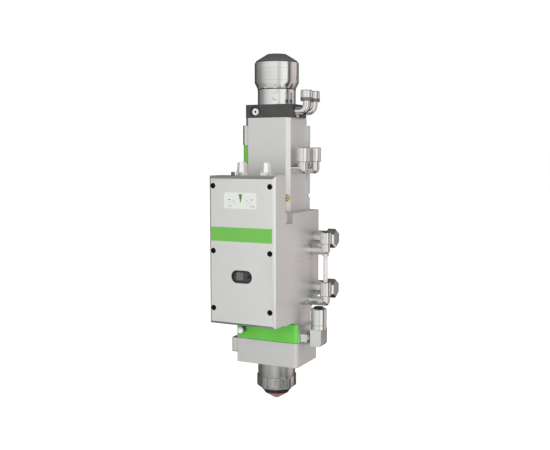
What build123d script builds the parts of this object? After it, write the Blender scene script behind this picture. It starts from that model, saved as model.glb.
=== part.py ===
from build123d import *
import os
from math import asin, cos, sin, sqrt

# Laser cutting head. Millimetres. +Z runs up the beam, -Y is the front with the
# drive cover, +X is the side with the hose ports. The origin is the centre of the
# four mounting threads in the back face, which lies in the plane Y = 0.

os.makedirs("parts", exist_ok=True)

# Clearances shared by every fit
running = 0.05
seat = 0.05
slide_gap = 0.3

# Beam
beam_y = -30.0
beam_axis = Axis((0, beam_y, 0), (0, 0, 1))

# Main housing
body_width = 77.0
body_depth = 88.4
body_top = 62.5
body_underside = -55.0
neck_drop = 5.0
neck_rim = 1.5
body_edge = 0.6
bore_gap = 1.2
outlet_bore = 18.5
notch_width = 8.0
notch_depth = 18.3
notch_height = 10.5
notch_round = 2.0
side_recess = 8.5
recess_front = -57.0
recess_height = 19.0
recess_round = 6.0
groove_depth = 0.6
groove_height = 0.8
groove_front = -56.0
groove_back = -20.0
groove_z = 9.3
half_width = body_width / 2
body_front = -body_depth
neck_bottom = body_underside - neck_drop
recess_top = body_underside + recess_height
recess_x = half_width - side_recess

# Mounting threads in the back face
mount_spacing_x = 50.0
mount_spacing_z = 60.0
mount_thread_radius = 2.5
mount_thread_depth = 12.0

# Collimator housing, its side cover and back plate
tower_height = 102.0
tower_bore = 18.5
tower_front_wall = 3.2
tower_side_wall = 6.8
tower_corner = 4.0
tower_left_corner = 1.0
cell_ledge_width = 3.5
cell_ledge_height = 5.5
cover_thickness = 5.5
cover_drop = 8.1
cover_edge = 1.0
inlay_rise = 52.0
inlay_height = 19.9
inlay_depth = 3.0
inlay_lip = 1.6
back_plate_thickness = 5.0
back_plate_reach = 2.2
back_plate_drop = 7.9
back_notch_rise = 15.5
back_notch_height = 4.0
back_notch_depth = 1.6
plate_screw_edge = 6.0
plate_screw_pitch = 36.0
plate_screw_radius = 2.0
plate_screw_inset = 0.4
tower_half_width = tower_bore + tower_side_wall
tower_front = beam_y - tower_bore - tower_front_wall
tower_back = -back_plate_thickness
tower_top = body_top + tower_height
cell_ledge_radius = tower_bore - cell_ledge_width
cell_ledge_z = body_top + cell_ledge_height
cover_top = tower_top - cover_drop
inlay_low = body_top + inlay_rise
inlay_high = inlay_low + inlay_height
back_plate_half_width = tower_half_width + back_plate_reach
back_plate_top = tower_top - back_plate_drop
back_notch_z = body_top + back_notch_rise
plate_screw_x = back_plate_half_width - plate_screw_edge

# Focus drive inside the box
lead_radius = 4.0
lead_journal = 2.5
journal_depth = 3.5
rod_sink = 2.0
motor_size = 25.0
motor_height = 28.0
motor_gap = 0.5
motor_headroom = 3.6
motor_corner = 3.0
motor_cap = 8.4
motor_waist_depth = 0.5
motor_pilot_radius = 10.0
motor_pilot_height = 2.0
shaft_radius = 2.5
shaft_depth = 12.0
coupling_radius = 8.0
coupling_clear = 1.6
coupling_length = 18.0
coupling_slit = 1.2
coupling_slit_depth = 2.4
coupling_slit_inset = 6.0
coupling_gap = 2.0
shaft_gap = 2.0
rod_radius = 3.0
rod_x = 22.0
arm_reach = 6.0
arm_end = 6.0
arm_height = 15.0
arm_round = 2.0
bar_half_width = 8.0
bar_height = 13.0
focus_travel = 10.0
slot_margin = 1.0
nut_body_radius = 6.0
nut_flange_reach = 0.8
nut_flange = 3.0
carriage_z = -1.7
nut_flange_radius = coupling_radius + nut_flange_reach
arm_half_width = rod_x + arm_end

# Drive box on the front
drive_lift = 1.5
drive_wall = 4.0
drive_floor = 4.5
neck_waist_half = 18.0
neck_step = 4.0
cover_plate = 3.1
cover_lip = 0.3
boss_radius = 4.2
shelf_thickness = 4.0
neck_half_width = neck_waist_half + neck_step
cover_bevel = cover_plate - cover_lip
shelf_top = body_top + drive_wall
drive_top = shelf_top + motor_height + motor_headroom + drive_floor
drive_bottom = body_underside + drive_lift
drive_depth = motor_gap + motor_size / 2 + coupling_radius + coupling_clear
drive_front = body_front - drive_depth
panel_front = drive_front - cover_plate
screw_axis_y = drive_front + motor_gap + motor_size / 2
cavity_half_width = half_width - drive_wall

# Cover screws
screw_inset = 5.4
screw_top_inset = 10.4
screw_middle_z = 24.1
screw_low_inset = 17.0
screw_head_radius = 2.6
screw_head_height = 1.8
screw_shank_radius = 1.5
screw_length = 9.0
socket_radius = 1.3
cover_socket_depth = 1.1
screw_x = half_width - screw_inset
screw_rows = (drive_top - screw_top_inset, screw_middle_z, drive_bottom + screw_low_inset)

# Window, stripe and index plate in the cover
window_width = 25.0
window_height = 14.5
window_x = 0.5
window_z = carriage_z
pane_thickness = 1.6
pane_recess = 0.8
stripe_drop = 53.2
stripe_height = 14.7
stripe_thickness = 0.25
index_width = 38.0
index_height = 17.0
index_x = -0.7
index_drop = 25.2
index_thickness = 0.4
index_corner = 2.0
stripe_high = drive_top - stripe_drop
stripe_low = stripe_high - stripe_height
index_z = drive_top - index_drop

# Lens barrel on the carriage
lens_radius = 18.5
barrel_wall = 3.3
barrel_half_height = 13.0
lens_thickness = 7.0
lens_rim = 2.0
lens_edge = 3.5
lens_seat_drop = 2.0
ring_height = 3.0
strip_width = 8.7
strip_height = 8.8
strip_thickness = 0.6
strip_x = -4.1
strip_gap = 2.2
sight_radius = 3.1
sight_x = 7.0
barrel_radius = lens_radius + barrel_wall
main_bore = barrel_radius + bore_gap

# Collimating lens cell and the brass screw that locks it
cell_height = 20.0
cell_groove_depth = 1.2
cell_groove_height = 1.6
cell_groove_rise = 5.0
cell_groove_pitch = 6.0
collimator_radius = 14.0
collimator_thickness = 6.0
collimator_rim = 3.6
cell_lip = 2.0
brass_inset = 3.0
brass_rise = 9.7
brass_head_radius = 3.4
brass_head_length = 3.0
brass_seat_depth = 1.8
brass_shank_radius = 1.6
brass_shank_length = 9.0
brass_edge = 0.5
brass_socket_depth = 1.8
brass_x = tower_half_width - brass_inset
brass_z = cell_ledge_z + brass_rise

# Clamp block and fibre receiver
clamp_reach = 2.5
clamp_set_back = 0.5
clamp_depth = 40.2
clamp_height = 14.3
clamp_edge = 1.0
clamp_screw_x = -15.5
clamp_screw_rise = 6.5
clamp_counterbore = 6.6
clamp_counterbore_depth = 2.0
clamp_head_radius = 3.7
clamp_head_height = 2.6
clamp_shank_radius = 2.0
clamp_shank_length = 3.2
clamp_socket_depth = 1.6
lug_length = 20.0
lug_reach = 4.4
lug_height = 2.4
lug_screw_radius = 1.3
lug_screw_reach = 1.5
lug_head_radius = 2.0
lug_head_height = 1.4
receiver_ledge = 1.0
spigot_step = 0.5
receiver_step = 1.5
receiver_height = 17.4
spigot_bore = 12.0
spigot_recess = 1.6
collar_step = 3.4
collar_height = 29.4
collar_shoulder_height = 6.8
collar_chamfer = 1.2
collar_slots = 12
collar_slot_width = 2.4
collar_slot_depth = 1.3
collar_slot_height = 2.2
collar_slot_angle = 20.8
plug_rim_step = 1.4
plug_top_radius = 10.8
plug_height = 7.5
plug_facets = 16
plug_stem_length = 34.0
plug_wall = 2.2
plug_rim = 0.8
barrel_recess_radius = 3.6
barrel_recess_rise = 8.7
barrel_recess_angle = 22.6
barrel_recess_depth = 1.2
clamp_top = tower_top + clamp_height
clamp_half_width = tower_half_width + clamp_reach
clamp_front = tower_front + clamp_set_back
clamp_back = clamp_front + clamp_depth
clamp_screw_z = tower_top + clamp_screw_rise
receiver_seat_radius = tower_bore + receiver_ledge
spigot_radius = receiver_seat_radius - spigot_step
receiver_radius = receiver_seat_radius + receiver_step
barrel_recess_z = clamp_top + barrel_recess_rise
collar_radius = receiver_radius + collar_step
collar_bottom = clamp_top + receiver_height
collar_shoulder = collar_bottom + collar_shoulder_height
collar_top = collar_bottom + collar_height
spigot_top = collar_top - spigot_recess
plug_rim_radius = collar_radius - plug_rim_step

# Nozzle housing, window drawer and their ports
block_height = 48.5
shoulder_drop = 6.0
face_height = 21.2
block_half_width = 37.2
block_back = -2.5
block_front = -56.0
block_corner = 4.0
block_left_corner = 1.0
block_neck_half = 30.0
plate_lip = 0.4
tray_border = 5.7
tray_thickness = 9.0
tray_end = 4.5
tray_drop = 6.6
window_radius = 18.0
window_thickness = 4.0
window_lip = 2.5
gasket_height = 1.6
gasket_width = 1.7
knob_x = -28.0
knob_drop = 10.0
knob_radius = 3.6
knob_stem_radius = 1.9
knob_stem_length = 9.5
knob_collar = 1.2
port_y = -42.0
port_drop = 15.5
port_thread_radius = 5.0
plate_thickness = block_corner + plate_lip
shoulder_top = neck_bottom - shoulder_drop
face_split = neck_bottom - face_height
block_bottom = neck_bottom - block_height
tray_half_width = window_radius + tray_border
tray_back = beam_y + window_radius + tray_end
tray_top = neck_bottom - tray_drop
window_aperture = window_radius - window_lip
knob_z = neck_bottom - knob_drop
port_z = neck_bottom - port_drop

# Sensor barrel, ceramic ring, nozzle and lock nut
barrel_taper = 0.4
barrel_low_radius = 21.0
barrel_height = 16.1
nut_reach = 1.4
nut_height = 10.8
nut_ribs = 16
nut_groove_width = 2.0
nut_groove_depth = 1.5
nut_lip_height = 3.4
nut_lip_wall = 1.6
ceramic_radius = 17.0
ceramic_drop = 2.6
nozzle_shoulder_radius = 14.8
nozzle_length = 10.6
nozzle_tip_radius = 2.4
nozzle_bore = 1.0
nozzle_thread_radius = 5.5
beam_bore_low = 9.0
barrel_throat = 7.0
barrel_straight = 7.5
nut_wall = 2.2
nut_chamfer = 1.2
nut_rim = 1.6
ceramic_flange = 2.4
ceramic_chamfer = 0.8
nozzle_rim = 0.8
nozzle_wall = 1.5
barrel_top_radius = barrel_low_radius + barrel_taper
barrel_low_z = block_bottom - barrel_height
nut_radius = barrel_low_radius + nut_reach
nut_lip_radius = ceramic_radius + nut_lip_wall

# Left sensor connector
connector_side = 17.4
connector_length = 15.8
connector_rise = 14.6
connector_corner = 0.8
connector_edge = 0.8
connector_socket_radius = 6.9
connector_socket_depth = 9.0
connector_pin_radius = 3.2
connector_pin_inset = 1.0
connector_z = block_bottom + connector_rise

# Ports on the right side
top_port_rise = 7.0
top_port_reach = 13.5
top_port_ys = (-42.0, -22.0)
top_tube_radius = 4.0
top_tube_bore = 2.05
top_tube_bend = 7.0
top_flange_step = 0.4
top_flange_length = 3.0
top_nut_wall = 2.5
top_nut_rise = 10.3
top_nut_height = 11.5
side_port_rise = 46.5
side_port_ys = (-41.5, -13.0)
side_port_reach = (11.6, 13.1)
side_leg_radius = 5.6
side_nut_wall = 1.6
side_nut_rise = 7.8
side_nut_height = 15.4
side_bore = 4.05
side_flange_step = 0.6
side_flange_length = 4.5
station_y = -25.0
station_reach = 18.9
station_leg_z = (19.4, -37.4)
station_nut_rise = (7.6, 6.4)
station_nut_height = (12.6, 15.4)
station_leg_radius = 5.0
station_nut_wall = 1.0
station_bore = 3.05
link_radius = 2.4
link_sink = 3.0
link_stub = 1.2
station_flange_step = 1.0
station_flange_length = 3.0
nut_grip = 4.0
nut_edge = 0.8
rib_cut = 0.45
rib_cut_width = 1.1
top_nut_ribs = 8
side_nut_ribs = 10
station_nut_ribs = 8
coupling_y = -9.6
coupling_z = (31.4, -24.9)
coupling_barrel_radius = 8.2
coupling_barrel_length = 15.5
coupling_cap = 10.2
coupling_cap_step = 1.2
coupling_edge = 1.6
coupling_ring = 1.6
coupling_ring_depth = 0.8
top_port_z = tower_top + top_port_rise
top_port_x = clamp_half_width + top_port_reach
top_flange_radius = top_tube_radius + top_flange_step
top_nut_radius = top_tube_radius + top_nut_wall
top_nut_low = top_port_z + top_nut_rise
top_nut_high = top_nut_low + top_nut_height
side_port_z = body_top + side_port_rise
side_port_x = [tower_half_width + reach for reach in side_port_reach]
side_nut_radius = side_leg_radius + side_nut_wall
side_nut_low = side_port_z + side_nut_rise
side_nut_high = side_nut_low + side_nut_height
side_flange_radius = side_leg_radius + side_flange_step
station_x = half_width + station_reach
station_nut_low = [leg + rise for leg, rise in zip(station_leg_z, station_nut_rise)]
station_nut_high = [low + height for low, height in zip(station_nut_low, station_nut_height)]
station_nut_radius = station_leg_radius + station_nut_wall
station_flange_radius = station_leg_radius + station_flange_step
coupling_barrel_end = half_width + coupling_barrel_length
coupling_end = coupling_barrel_end + coupling_cap
coupling_flats = 2 * (coupling_barrel_radius + coupling_cap_step)

# Gas inlet
gas_hex_flats = 14.6
gas_hex_length = 9.0
gas_thread_length = 4.1
gas_thread_radius = 6.6
gas_groove_start = 1.6
gas_groove_width = 1.2
gas_groove_depth = 1.0
gas_block_width = 12.8
gas_block_depth = 18.0
gas_block_height = 18.3
gas_block_edge = 2.0
gas_bore_radius = 4.05
gas_ring_wall = 1.15
gas_socket_wall = 3.4
gas_socket_rise = 33.3
gas_ring_height = 1.6
gas_ring_sleeve = 6.0
gas_ring_travel = 1.2
gas_tube_grip = 6.0
gas_channel_step = 1.0
gas_block_rise = 1.5
gas_band = 4.4
gas_band_height = 0.8
gas_band_depth = 0.5
gas_socket_edge = 0.8
gas_socket_top = port_z + gas_socket_rise
gas_ring_radius = gas_bore_radius + gas_ring_wall
gas_socket_radius = gas_ring_radius + gas_socket_wall

# Cable glands on the drive box
gland_x = 14.4
gland_set_back = 3.4
gland_flange_radius = 7.4
gland_flange = 3.0
gland_base_radius = 5.9
gland_top_radius = 4.7
gland_nut_sides = 8
gland_nut_height = 10.6
gland_bore = 2.6
gland_thread_radius = 4.5
small_screw_x = -17.5
small_screw_forward = 10.6
small_head_height = 3.8
small_head_radius = 2.0
gland_y = body_front + gland_set_back
small_screw_y = body_front - small_screw_forward


def block(low, high, mode=Mode.ADD):
    """A rectangular block between two corners."""
    centre = [(a + b) / 2 for a, b in zip(low, high)]
    size = [b - a for a, b in zip(low, high)]
    with Locations(tuple(centre)):
        Box(*size, mode=mode)


def upright(x, y, low, high, radius, mode=Mode.ADD):
    """A cylinder along Z between two heights."""
    with Locations((x, y, (low + high) / 2)):
        Cylinder(radius, high - low, mode=mode)


def across(y, z, low, high, radius, mode=Mode.ADD):
    """A cylinder along X between two ends."""
    with Locations(((low + high) / 2, y, z)):
        Cylinder(radius, high - low, rotation=(0, 90, 0), mode=mode)


def forward(x, z, low, high, radius, mode=Mode.ADD):
    """A cylinder along Y between two ends."""
    with Locations((x, (low + high) / 2, z)):
        Cylinder(radius, high - low, rotation=(90, 0, 0), mode=mode)


def dome_ball(radius, rise):
    """Radius of the sphere that a lens's domed face is part of."""
    return (radius**2 + rise**2) / (2 * rise)


def dome_middle(radius, rim, high):
    """Middle point of the arc from a lens's rim to its crown."""
    ball = dome_ball(radius, high - rim)
    half_turn = asin(radius / ball) / 2
    return (ball * sin(half_turn), high - ball * (1 - cos(half_turn)))


# Main housing: the machined block that carries everything else
slot_half_height = bar_height / 2 + focus_travel + slot_margin
slot_half_width = bar_half_width + slot_margin
with BuildPart() as main_housing:
    with BuildSketch(Plane.XY.offset(body_underside)):
        with Locations((0, body_front / 2)):
            Rectangle(body_width, body_depth)
    extrude(amount=body_top - body_underside)
    fillet(main_housing.edges().filter_by(Axis.Z).group_by(Axis.Y)[-1], body_edge)
    for side in (-1, 1):
        edge = side * half_width
        inner = side * (half_width - notch_width)
        low_x, high_x = sorted((edge, inner))
        with BuildSketch(Plane.XY.offset(body_top - notch_height)) as notch:
            with Locations(((low_x + high_x) / 2, body_front + notch_depth / 2)):
                Rectangle(notch_width, notch_depth)
            back_corners = notch.vertices().group_by(Axis.Y)[-1].sort_by(Axis.X)
            fillet(back_corners[-1 if side < 0 else 0], notch_round)
        extrude(amount=notch_height, mode=Mode.SUBTRACT)
    with BuildSketch(Plane.XY.offset(body_underside)) as recess:
        with Locations((recess_x, recess_front)):
            Rectangle(side_recess, -recess_front, align=(Align.MIN, Align.MIN))
        fillet(recess.vertices().group_by(Axis.Y)[0].sort_by(Axis.X)[0], recess_round)
    extrude(amount=recess_top - body_underside, mode=Mode.SUBTRACT)
    across(station_y, station_leg_z[1], recess_x, half_width, station_flange_radius)
    upright(0, beam_y, body_underside, body_top, main_bore, Mode.SUBTRACT)
    block(
        (-slot_half_width, body_front, carriage_z - slot_half_height),
        (slot_half_width, beam_y, carriage_z + slot_half_height),
        Mode.SUBTRACT,
    )
    block(
        (half_width - groove_depth, groove_front, groove_z - groove_height / 2),
        (half_width, groove_back, groove_z + groove_height / 2),
        Mode.SUBTRACT,
    )
    with Locations(Plane.XZ):
        with GridLocations(mount_spacing_x, mount_spacing_z, 2, 2):
            Cylinder(
                mount_thread_radius,
                mount_thread_depth,
                align=(Align.CENTER, Align.CENTER, Align.MIN),
                mode=Mode.SUBTRACT,
            )
main_housing.part.label = "main_housing"
export_step(main_housing.part, "parts/main_housing.step")

# Drive box: the open-fronted casing with a shelf for the motor
shelf_low = shelf_top - shelf_thickness
floor_top = drive_bottom + drive_floor
neck_step_y = gland_y + gland_flange_radius + slide_gap
with BuildPart() as drive_box:
    block(
        (-half_width, drive_front, drive_bottom),
        (half_width, body_front, drive_top),
    )
    block(
        (-neck_half_width, body_front, body_top),
        (neck_half_width, neck_step_y, drive_top),
    )
    block(
        (-neck_waist_half, neck_step_y, body_top),
        (neck_waist_half, tower_front, drive_top),
    )
    cavity_back = body_front - drive_wall
    block(
        (-cavity_half_width, drive_front, floor_top),
        (cavity_half_width, body_front, shelf_low),
        Mode.SUBTRACT,
    )
    block(
        (-cavity_half_width, drive_front, shelf_top),
        (cavity_half_width, cavity_back, drive_top - drive_floor),
        Mode.SUBTRACT,
    )
    neck_inner = neck_half_width - drive_wall
    block(
        (-neck_inner, cavity_back, shelf_top),
        (neck_inner, neck_step_y - drive_wall, drive_top - drive_floor),
        Mode.SUBTRACT,
    )
    for boss_z in screw_rows:
        for boss_x in (-screw_x, screw_x):
            forward(boss_x, boss_z, drive_front, body_front, boss_radius)
            forward(
                boss_x,
                boss_z,
                drive_front,
                drive_front + screw_length,
                screw_shank_radius + seat,
                Mode.SUBTRACT,
            )
    pilot_hole = motor_pilot_radius + seat
    upright(0, screw_axis_y, shelf_low, shelf_top, pilot_hole, Mode.SUBTRACT)
    journal_hole = lead_journal + running
    journal_floor = floor_top - journal_depth
    upright(0, screw_axis_y, journal_floor, floor_top, journal_hole, Mode.SUBTRACT)
    for side in (-1, 1):
        rod_at = (side * rod_x, screw_axis_y)
        upright(*rod_at, floor_top - rod_sink, floor_top, rod_radius + seat, Mode.SUBTRACT)
        upright(*rod_at, shelf_low, shelf_low + rod_sink, rod_radius + seat, Mode.SUBTRACT)
    for side in (-1, 1):
        upright(
            side * gland_x,
            gland_y,
            drive_top - drive_floor,
            drive_top,
            gland_thread_radius + seat,
            Mode.SUBTRACT,
        )
drive_box.part.label = "drive_box"
export_step(drive_box.part, "parts/drive_box.step")

# Front cover of the drive box, bevelled all round
panel_mid_z = (drive_top + drive_bottom) / 2
with BuildPart() as front_cover:
    with BuildSketch(Plane.XZ.offset(-drive_front)):
        with Locations((0, panel_mid_z)):
            Rectangle(body_width, drive_top - drive_bottom)
    extrude(amount=cover_plate)
    outer = front_cover.faces().sort_by(Axis.Y)[0]
    chamfer(outer.edges(), cover_bevel)
    with BuildSketch(Plane.XZ.offset(-panel_front)):
        with Locations((window_x, window_z)):
            SlotOverall(window_width, window_height)
    extrude(amount=-cover_plate, mode=Mode.SUBTRACT)
    for hole_z in screw_rows:
        for hole_x in (-screw_x, screw_x):
            forward(
                hole_x, hole_z, panel_front, drive_front, screw_shank_radius + seat, Mode.SUBTRACT
            )
            forward(
                hole_x,
                hole_z,
                panel_front,
                panel_front + screw_head_height,
                screw_head_radius + seat,
                Mode.SUBTRACT,
            )
front_cover.part.label = "front_cover"
export_step(front_cover.part, "parts/front_cover.step")

with BuildPart() as cover_screws:
    for head_z in screw_rows:
        for head_x in (-screw_x, screw_x):
            head_back = panel_front + screw_head_height
            shank_end = drive_front + screw_length - slide_gap
            forward(head_x, head_z, panel_front, head_back, screw_head_radius)
            forward(head_x, head_z, head_back, shank_end, screw_shank_radius)
            with BuildSketch(Plane.XZ.offset(-panel_front)):
                with Locations((head_x, head_z)):
                    RegularPolygon(socket_radius, 6)
            extrude(amount=-cover_socket_depth, mode=Mode.SUBTRACT)
cover_screws.part.label = "cover_screws"
export_step(cover_screws.part, "parts/cover_screws.step")

with BuildPart() as window_pane:
    with BuildSketch(Plane.XZ.offset(-panel_front - pane_recess)):
        with Locations((window_x, window_z)):
            SlotOverall(window_width - 2 * seat, window_height - 2 * seat)
    extrude(amount=-pane_thickness)
window_pane.part.label = "window_pane"
export_step(window_pane.part, "parts/window_pane.step")

with BuildPart() as green_stripe:
    with BuildSketch(Plane.XZ.offset(-panel_front)):
        with Locations((0, (stripe_low + stripe_high) / 2)):
            Rectangle(body_width - 2 * cover_bevel, stripe_high - stripe_low)
    extrude(amount=stripe_thickness)
green_stripe.part.label = "green_stripe"
export_step(green_stripe.part, "parts/green_stripe.step")

with BuildPart() as index_plate:
    with BuildSketch(Plane.XZ.offset(-panel_front)):
        with Locations((index_x, index_z)):
            RectangleRounded(index_width, index_height, index_corner)
    extrude(amount=index_thickness)
index_plate.part.label = "index_plate"
export_step(index_plate.part, "parts/index_plate.step")

# Collimator housing above the body
with BuildPart() as collimator_housing:
    with BuildSketch(Plane.XY.offset(body_top)):
        with Locations((0, (tower_front + tower_back) / 2)):
            Rectangle(2 * tower_half_width, tower_back - tower_front)
    extrude(amount=tower_top - body_top)
    upright_edges = collimator_housing.edges().filter_by(Axis.Z)
    chamfer(upright_edges.group_by(Axis.Y)[0].sort_by(Axis.X)[-1], tower_corner)
    upright_edges = collimator_housing.edges().filter_by(Axis.Z)
    fillet(upright_edges.group_by(Axis.Y)[0].sort_by(Axis.X)[0], tower_left_corner)
    upright(0, beam_y, cell_ledge_z, tower_top, tower_bore, Mode.SUBTRACT)
    upright(0, beam_y, body_top, cell_ledge_z, cell_ledge_radius, Mode.SUBTRACT)
    forward(
        brass_x,
        brass_z,
        tower_front,
        tower_front + brass_seat_depth,
        brass_head_radius + slide_gap,
        Mode.SUBTRACT,
    )
    forward(
        brass_x,
        brass_z,
        tower_front,
        tower_front + brass_seat_depth + brass_shank_length,
        brass_shank_radius + seat,
        Mode.SUBTRACT,
    )
collimator_housing.part.label = "collimator_housing"
export_step(collimator_housing.part, "parts/collimator_housing.step")

with BuildPart() as brass_screw:
    head_low = tower_front + brass_seat_depth - brass_head_length
    head_high = tower_front + brass_seat_depth
    forward(brass_x, brass_z, head_low, head_high, brass_head_radius)
    chamfer(brass_screw.faces().sort_by(Axis.Y)[0].edges(), brass_edge)
    forward(
        brass_x,
        brass_z,
        head_high,
        head_high + brass_shank_length - slide_gap,
        brass_shank_radius,
    )
    with BuildSketch(Plane.XZ.offset(-head_low)):
        with Locations((brass_x, brass_z)):
            RegularPolygon(socket_radius, 6)
    extrude(amount=-brass_socket_depth, mode=Mode.SUBTRACT)
brass_screw.part.label = "brass_screw"
export_step(brass_screw.part, "parts/brass_screw.step")

with BuildPart() as collimator_cell:
    cell_radius = tower_bore - seat
    cell_top = cell_ledge_z + cell_height
    lens_seat = cell_top - collimator_thickness
    upright(0, beam_y, cell_ledge_z, cell_top, cell_radius)
    upright(0, beam_y, cell_ledge_z, cell_top, collimator_radius - cell_lip, Mode.SUBTRACT)
    upright(0, beam_y, lens_seat, cell_top, collimator_radius + seat, Mode.SUBTRACT)
    for ring in (0, 1):
        groove_level = cell_ledge_z + cell_groove_rise + ring * cell_groove_pitch
        with BuildSketch(Plane.XY.offset(groove_level)):
            with Locations((0, beam_y)):
                Circle(cell_radius)
                Circle(cell_radius - cell_groove_depth, mode=Mode.SUBTRACT)
        extrude(amount=cell_groove_height, mode=Mode.SUBTRACT)
collimator_cell.part.label = "collimator_cell"
export_step(collimator_cell.part, "parts/collimator_cell.step")

with BuildPart() as collimator_lens:
    with BuildSketch(Plane.XZ.offset(-beam_y)):
        with BuildLine():
            cell_rim = lens_seat + collimator_rim
            crown = (0, cell_top)
            rim_top = (collimator_radius, cell_rim)
            Polyline(crown, (0, lens_seat), (collimator_radius, lens_seat), rim_top)
            middle = dome_middle(collimator_radius, cell_rim, cell_top)
            ThreePointArc(rim_top, middle, crown)
        make_face()
    revolve(axis=beam_axis)
collimator_lens.part.label = "collimator_lens"
export_step(collimator_lens.part, "parts/collimator_lens.step")

# Side cover on the left with its green inlay
with BuildPart() as left_side_cover:
    with BuildSketch(Plane.XY.offset(body_top)):
        with Locations((-tower_half_width - cover_thickness / 2, (tower_front + tower_back) / 2)):
            Rectangle(cover_thickness, tower_back - tower_front)
    extrude(amount=cover_top - body_top)
    outer_edges = left_side_cover.faces().sort_by(Axis.X)[0].edges()
    chamfer(outer_edges.filter_by(Axis.Z), cover_edge)
    cover_outer = -tower_half_width - cover_thickness
    block(
        (cover_outer, tower_front, inlay_low),
        (cover_outer + inlay_depth, tower_back, inlay_high),
        Mode.SUBTRACT,
    )
    block(
        (cover_outer, tower_front, inlay_low),
        (-tower_half_width, tower_front + inlay_lip, inlay_high),
        Mode.SUBTRACT,
    )
left_side_cover.part.label = "left_side_cover"
export_step(left_side_cover.part, "parts/left_side_cover.step")

with BuildPart() as green_inlay:
    with BuildSketch(Plane.XY.offset(inlay_low)):
        with BuildLine():
            Polyline(
                (cover_outer, tower_front),
                (-tower_half_width, tower_front),
                (-tower_half_width, tower_front + inlay_lip),
                (cover_outer + inlay_depth, tower_front + inlay_lip),
                (cover_outer + inlay_depth, tower_back),
                (cover_outer, tower_back),
                close=True,
            )
        make_face()
    extrude(amount=inlay_high - inlay_low)
    chamfer(green_inlay.edges().filter_by(Axis.Z).group_by(Axis.X)[0], cover_edge)
green_inlay.part.label = "green_inlay"
export_step(green_inlay.part, "parts/green_inlay.step")

with BuildPart() as back_plate:
    with BuildSketch(Plane.XY.offset(body_top)):
        with Locations((0, tower_back / 2)):
            Rectangle(2 * back_plate_half_width, -tower_back)
    extrude(amount=back_plate_top - body_top)
    for side in (-1, 1):
        with Locations((side * back_plate_half_width, tower_back / 2, back_notch_z)):
            Box(2 * back_notch_depth, -tower_back, back_notch_height, mode=Mode.SUBTRACT)
    plate_mid = (back_plate_top + body_top) / 2
    plate_screws = [
        (side * plate_screw_x, plate_mid + row * plate_screw_pitch)
        for row in (-1, 0, 1)
        for side in (-1, 1)
    ]
    for plate_x, plate_z in plate_screws:
        forward(plate_x, plate_z, tower_back, 0, plate_screw_radius + seat, Mode.SUBTRACT)
back_plate.part.label = "back_plate"
export_step(back_plate.part, "parts/back_plate.step")

# Small cap screws: back plate, drive box top and clamp lug
with BuildPart() as cap_screws:
    for plate_x, plate_z in plate_screws:
        forward(plate_x, plate_z, tower_back, -plate_screw_inset, plate_screw_radius)
    upright(small_screw_x, small_screw_y, drive_top, drive_top + small_head_height, small_head_radius)
    lug_top = tower_top + lug_height
    lug_x = clamp_half_width + lug_screw_reach
    upright(lug_x, beam_y, tower_top, lug_top, lug_screw_radius)
    upright(lug_x, beam_y, lug_top, lug_top + lug_head_height, lug_head_radius)
cap_screws.part.label = "cap_screws"
export_step(cap_screws.part, "parts/cap_screws.step")

# Focus drive: motor, shaft, coupling and lead screw
coupling_top = shelf_low - coupling_gap
coupling_low = coupling_top - coupling_length
coupling_mid = (coupling_top + coupling_low) / 2
with BuildPart() as stepper_motor:
    with BuildSketch(Plane.XY.offset(shelf_top)) as motor_outline:
        with Locations((0, screw_axis_y)):
            Rectangle(motor_size, motor_size)
        chamfer(motor_outline.vertices(), motor_corner)
    extrude(amount=motor_height)
    pilot_low = shelf_top - motor_pilot_height
    upright(0, screw_axis_y, pilot_low, shelf_top, motor_pilot_radius)
    shaft_top = shelf_top + shaft_depth
    upright(0, screw_axis_y, pilot_low, shaft_top, shaft_radius + running, Mode.SUBTRACT)
    waist_size = motor_size - 2 * motor_waist_depth
    with BuildSketch(Plane.XY.offset(shelf_top + motor_cap)):
        with Locations((0, screw_axis_y)):
            Rectangle(motor_size, motor_size)
            Rectangle(waist_size, waist_size, mode=Mode.SUBTRACT)
    extrude(amount=motor_height - 2 * motor_cap, mode=Mode.SUBTRACT)
stepper_motor.part.label = "stepper_motor"
export_step(stepper_motor.part, "parts/stepper_motor.step")

with BuildPart() as motor_shaft:
    upright(0, screw_axis_y, coupling_mid + shaft_gap / 2, shaft_top - slide_gap, shaft_radius)
motor_shaft.part.label = "motor_shaft"
export_step(motor_shaft.part, "parts/motor_shaft.step")

with BuildPart() as motor_coupling:
    upright(0, screw_axis_y, coupling_low, coupling_top, coupling_radius)
    upright(0, screw_axis_y, coupling_low, coupling_top, shaft_radius + seat, Mode.SUBTRACT)
    for cut_z in (coupling_low + coupling_slit_inset, coupling_top - coupling_slit_inset):
        with BuildSketch(Plane.XY.offset(cut_z)):
            with Locations((0, screw_axis_y)):
                Circle(coupling_radius)
                Circle(coupling_radius - coupling_slit_depth, mode=Mode.SUBTRACT)
        extrude(amount=coupling_slit, mode=Mode.SUBTRACT)
motor_coupling.part.label = "motor_coupling"
export_step(motor_coupling.part, "parts/motor_coupling.step")

with BuildPart() as lead_screw:
    thread_low = floor_top + slide_gap
    thread_top = coupling_low - slide_gap
    upright(0, screw_axis_y, thread_low, thread_top, lead_radius)
    journal_end = journal_floor + slide_gap
    upright(0, screw_axis_y, journal_end, thread_low, lead_journal)
    upright(0, screw_axis_y, thread_top, coupling_mid - shaft_gap / 2, shaft_radius)
lead_screw.part.label = "lead_screw"
export_step(lead_screw.part, "parts/lead_screw.step")

with BuildPart() as guide_rods:
    for side in (-1, 1):
        rod_low = floor_top - rod_sink
        upright(side * rod_x, screw_axis_y, rod_low, shelf_low + rod_sink, rod_radius)
guide_rods.part.label = "guide_rods"
export_step(guide_rods.part, "parts/guide_rods.step")

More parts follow.
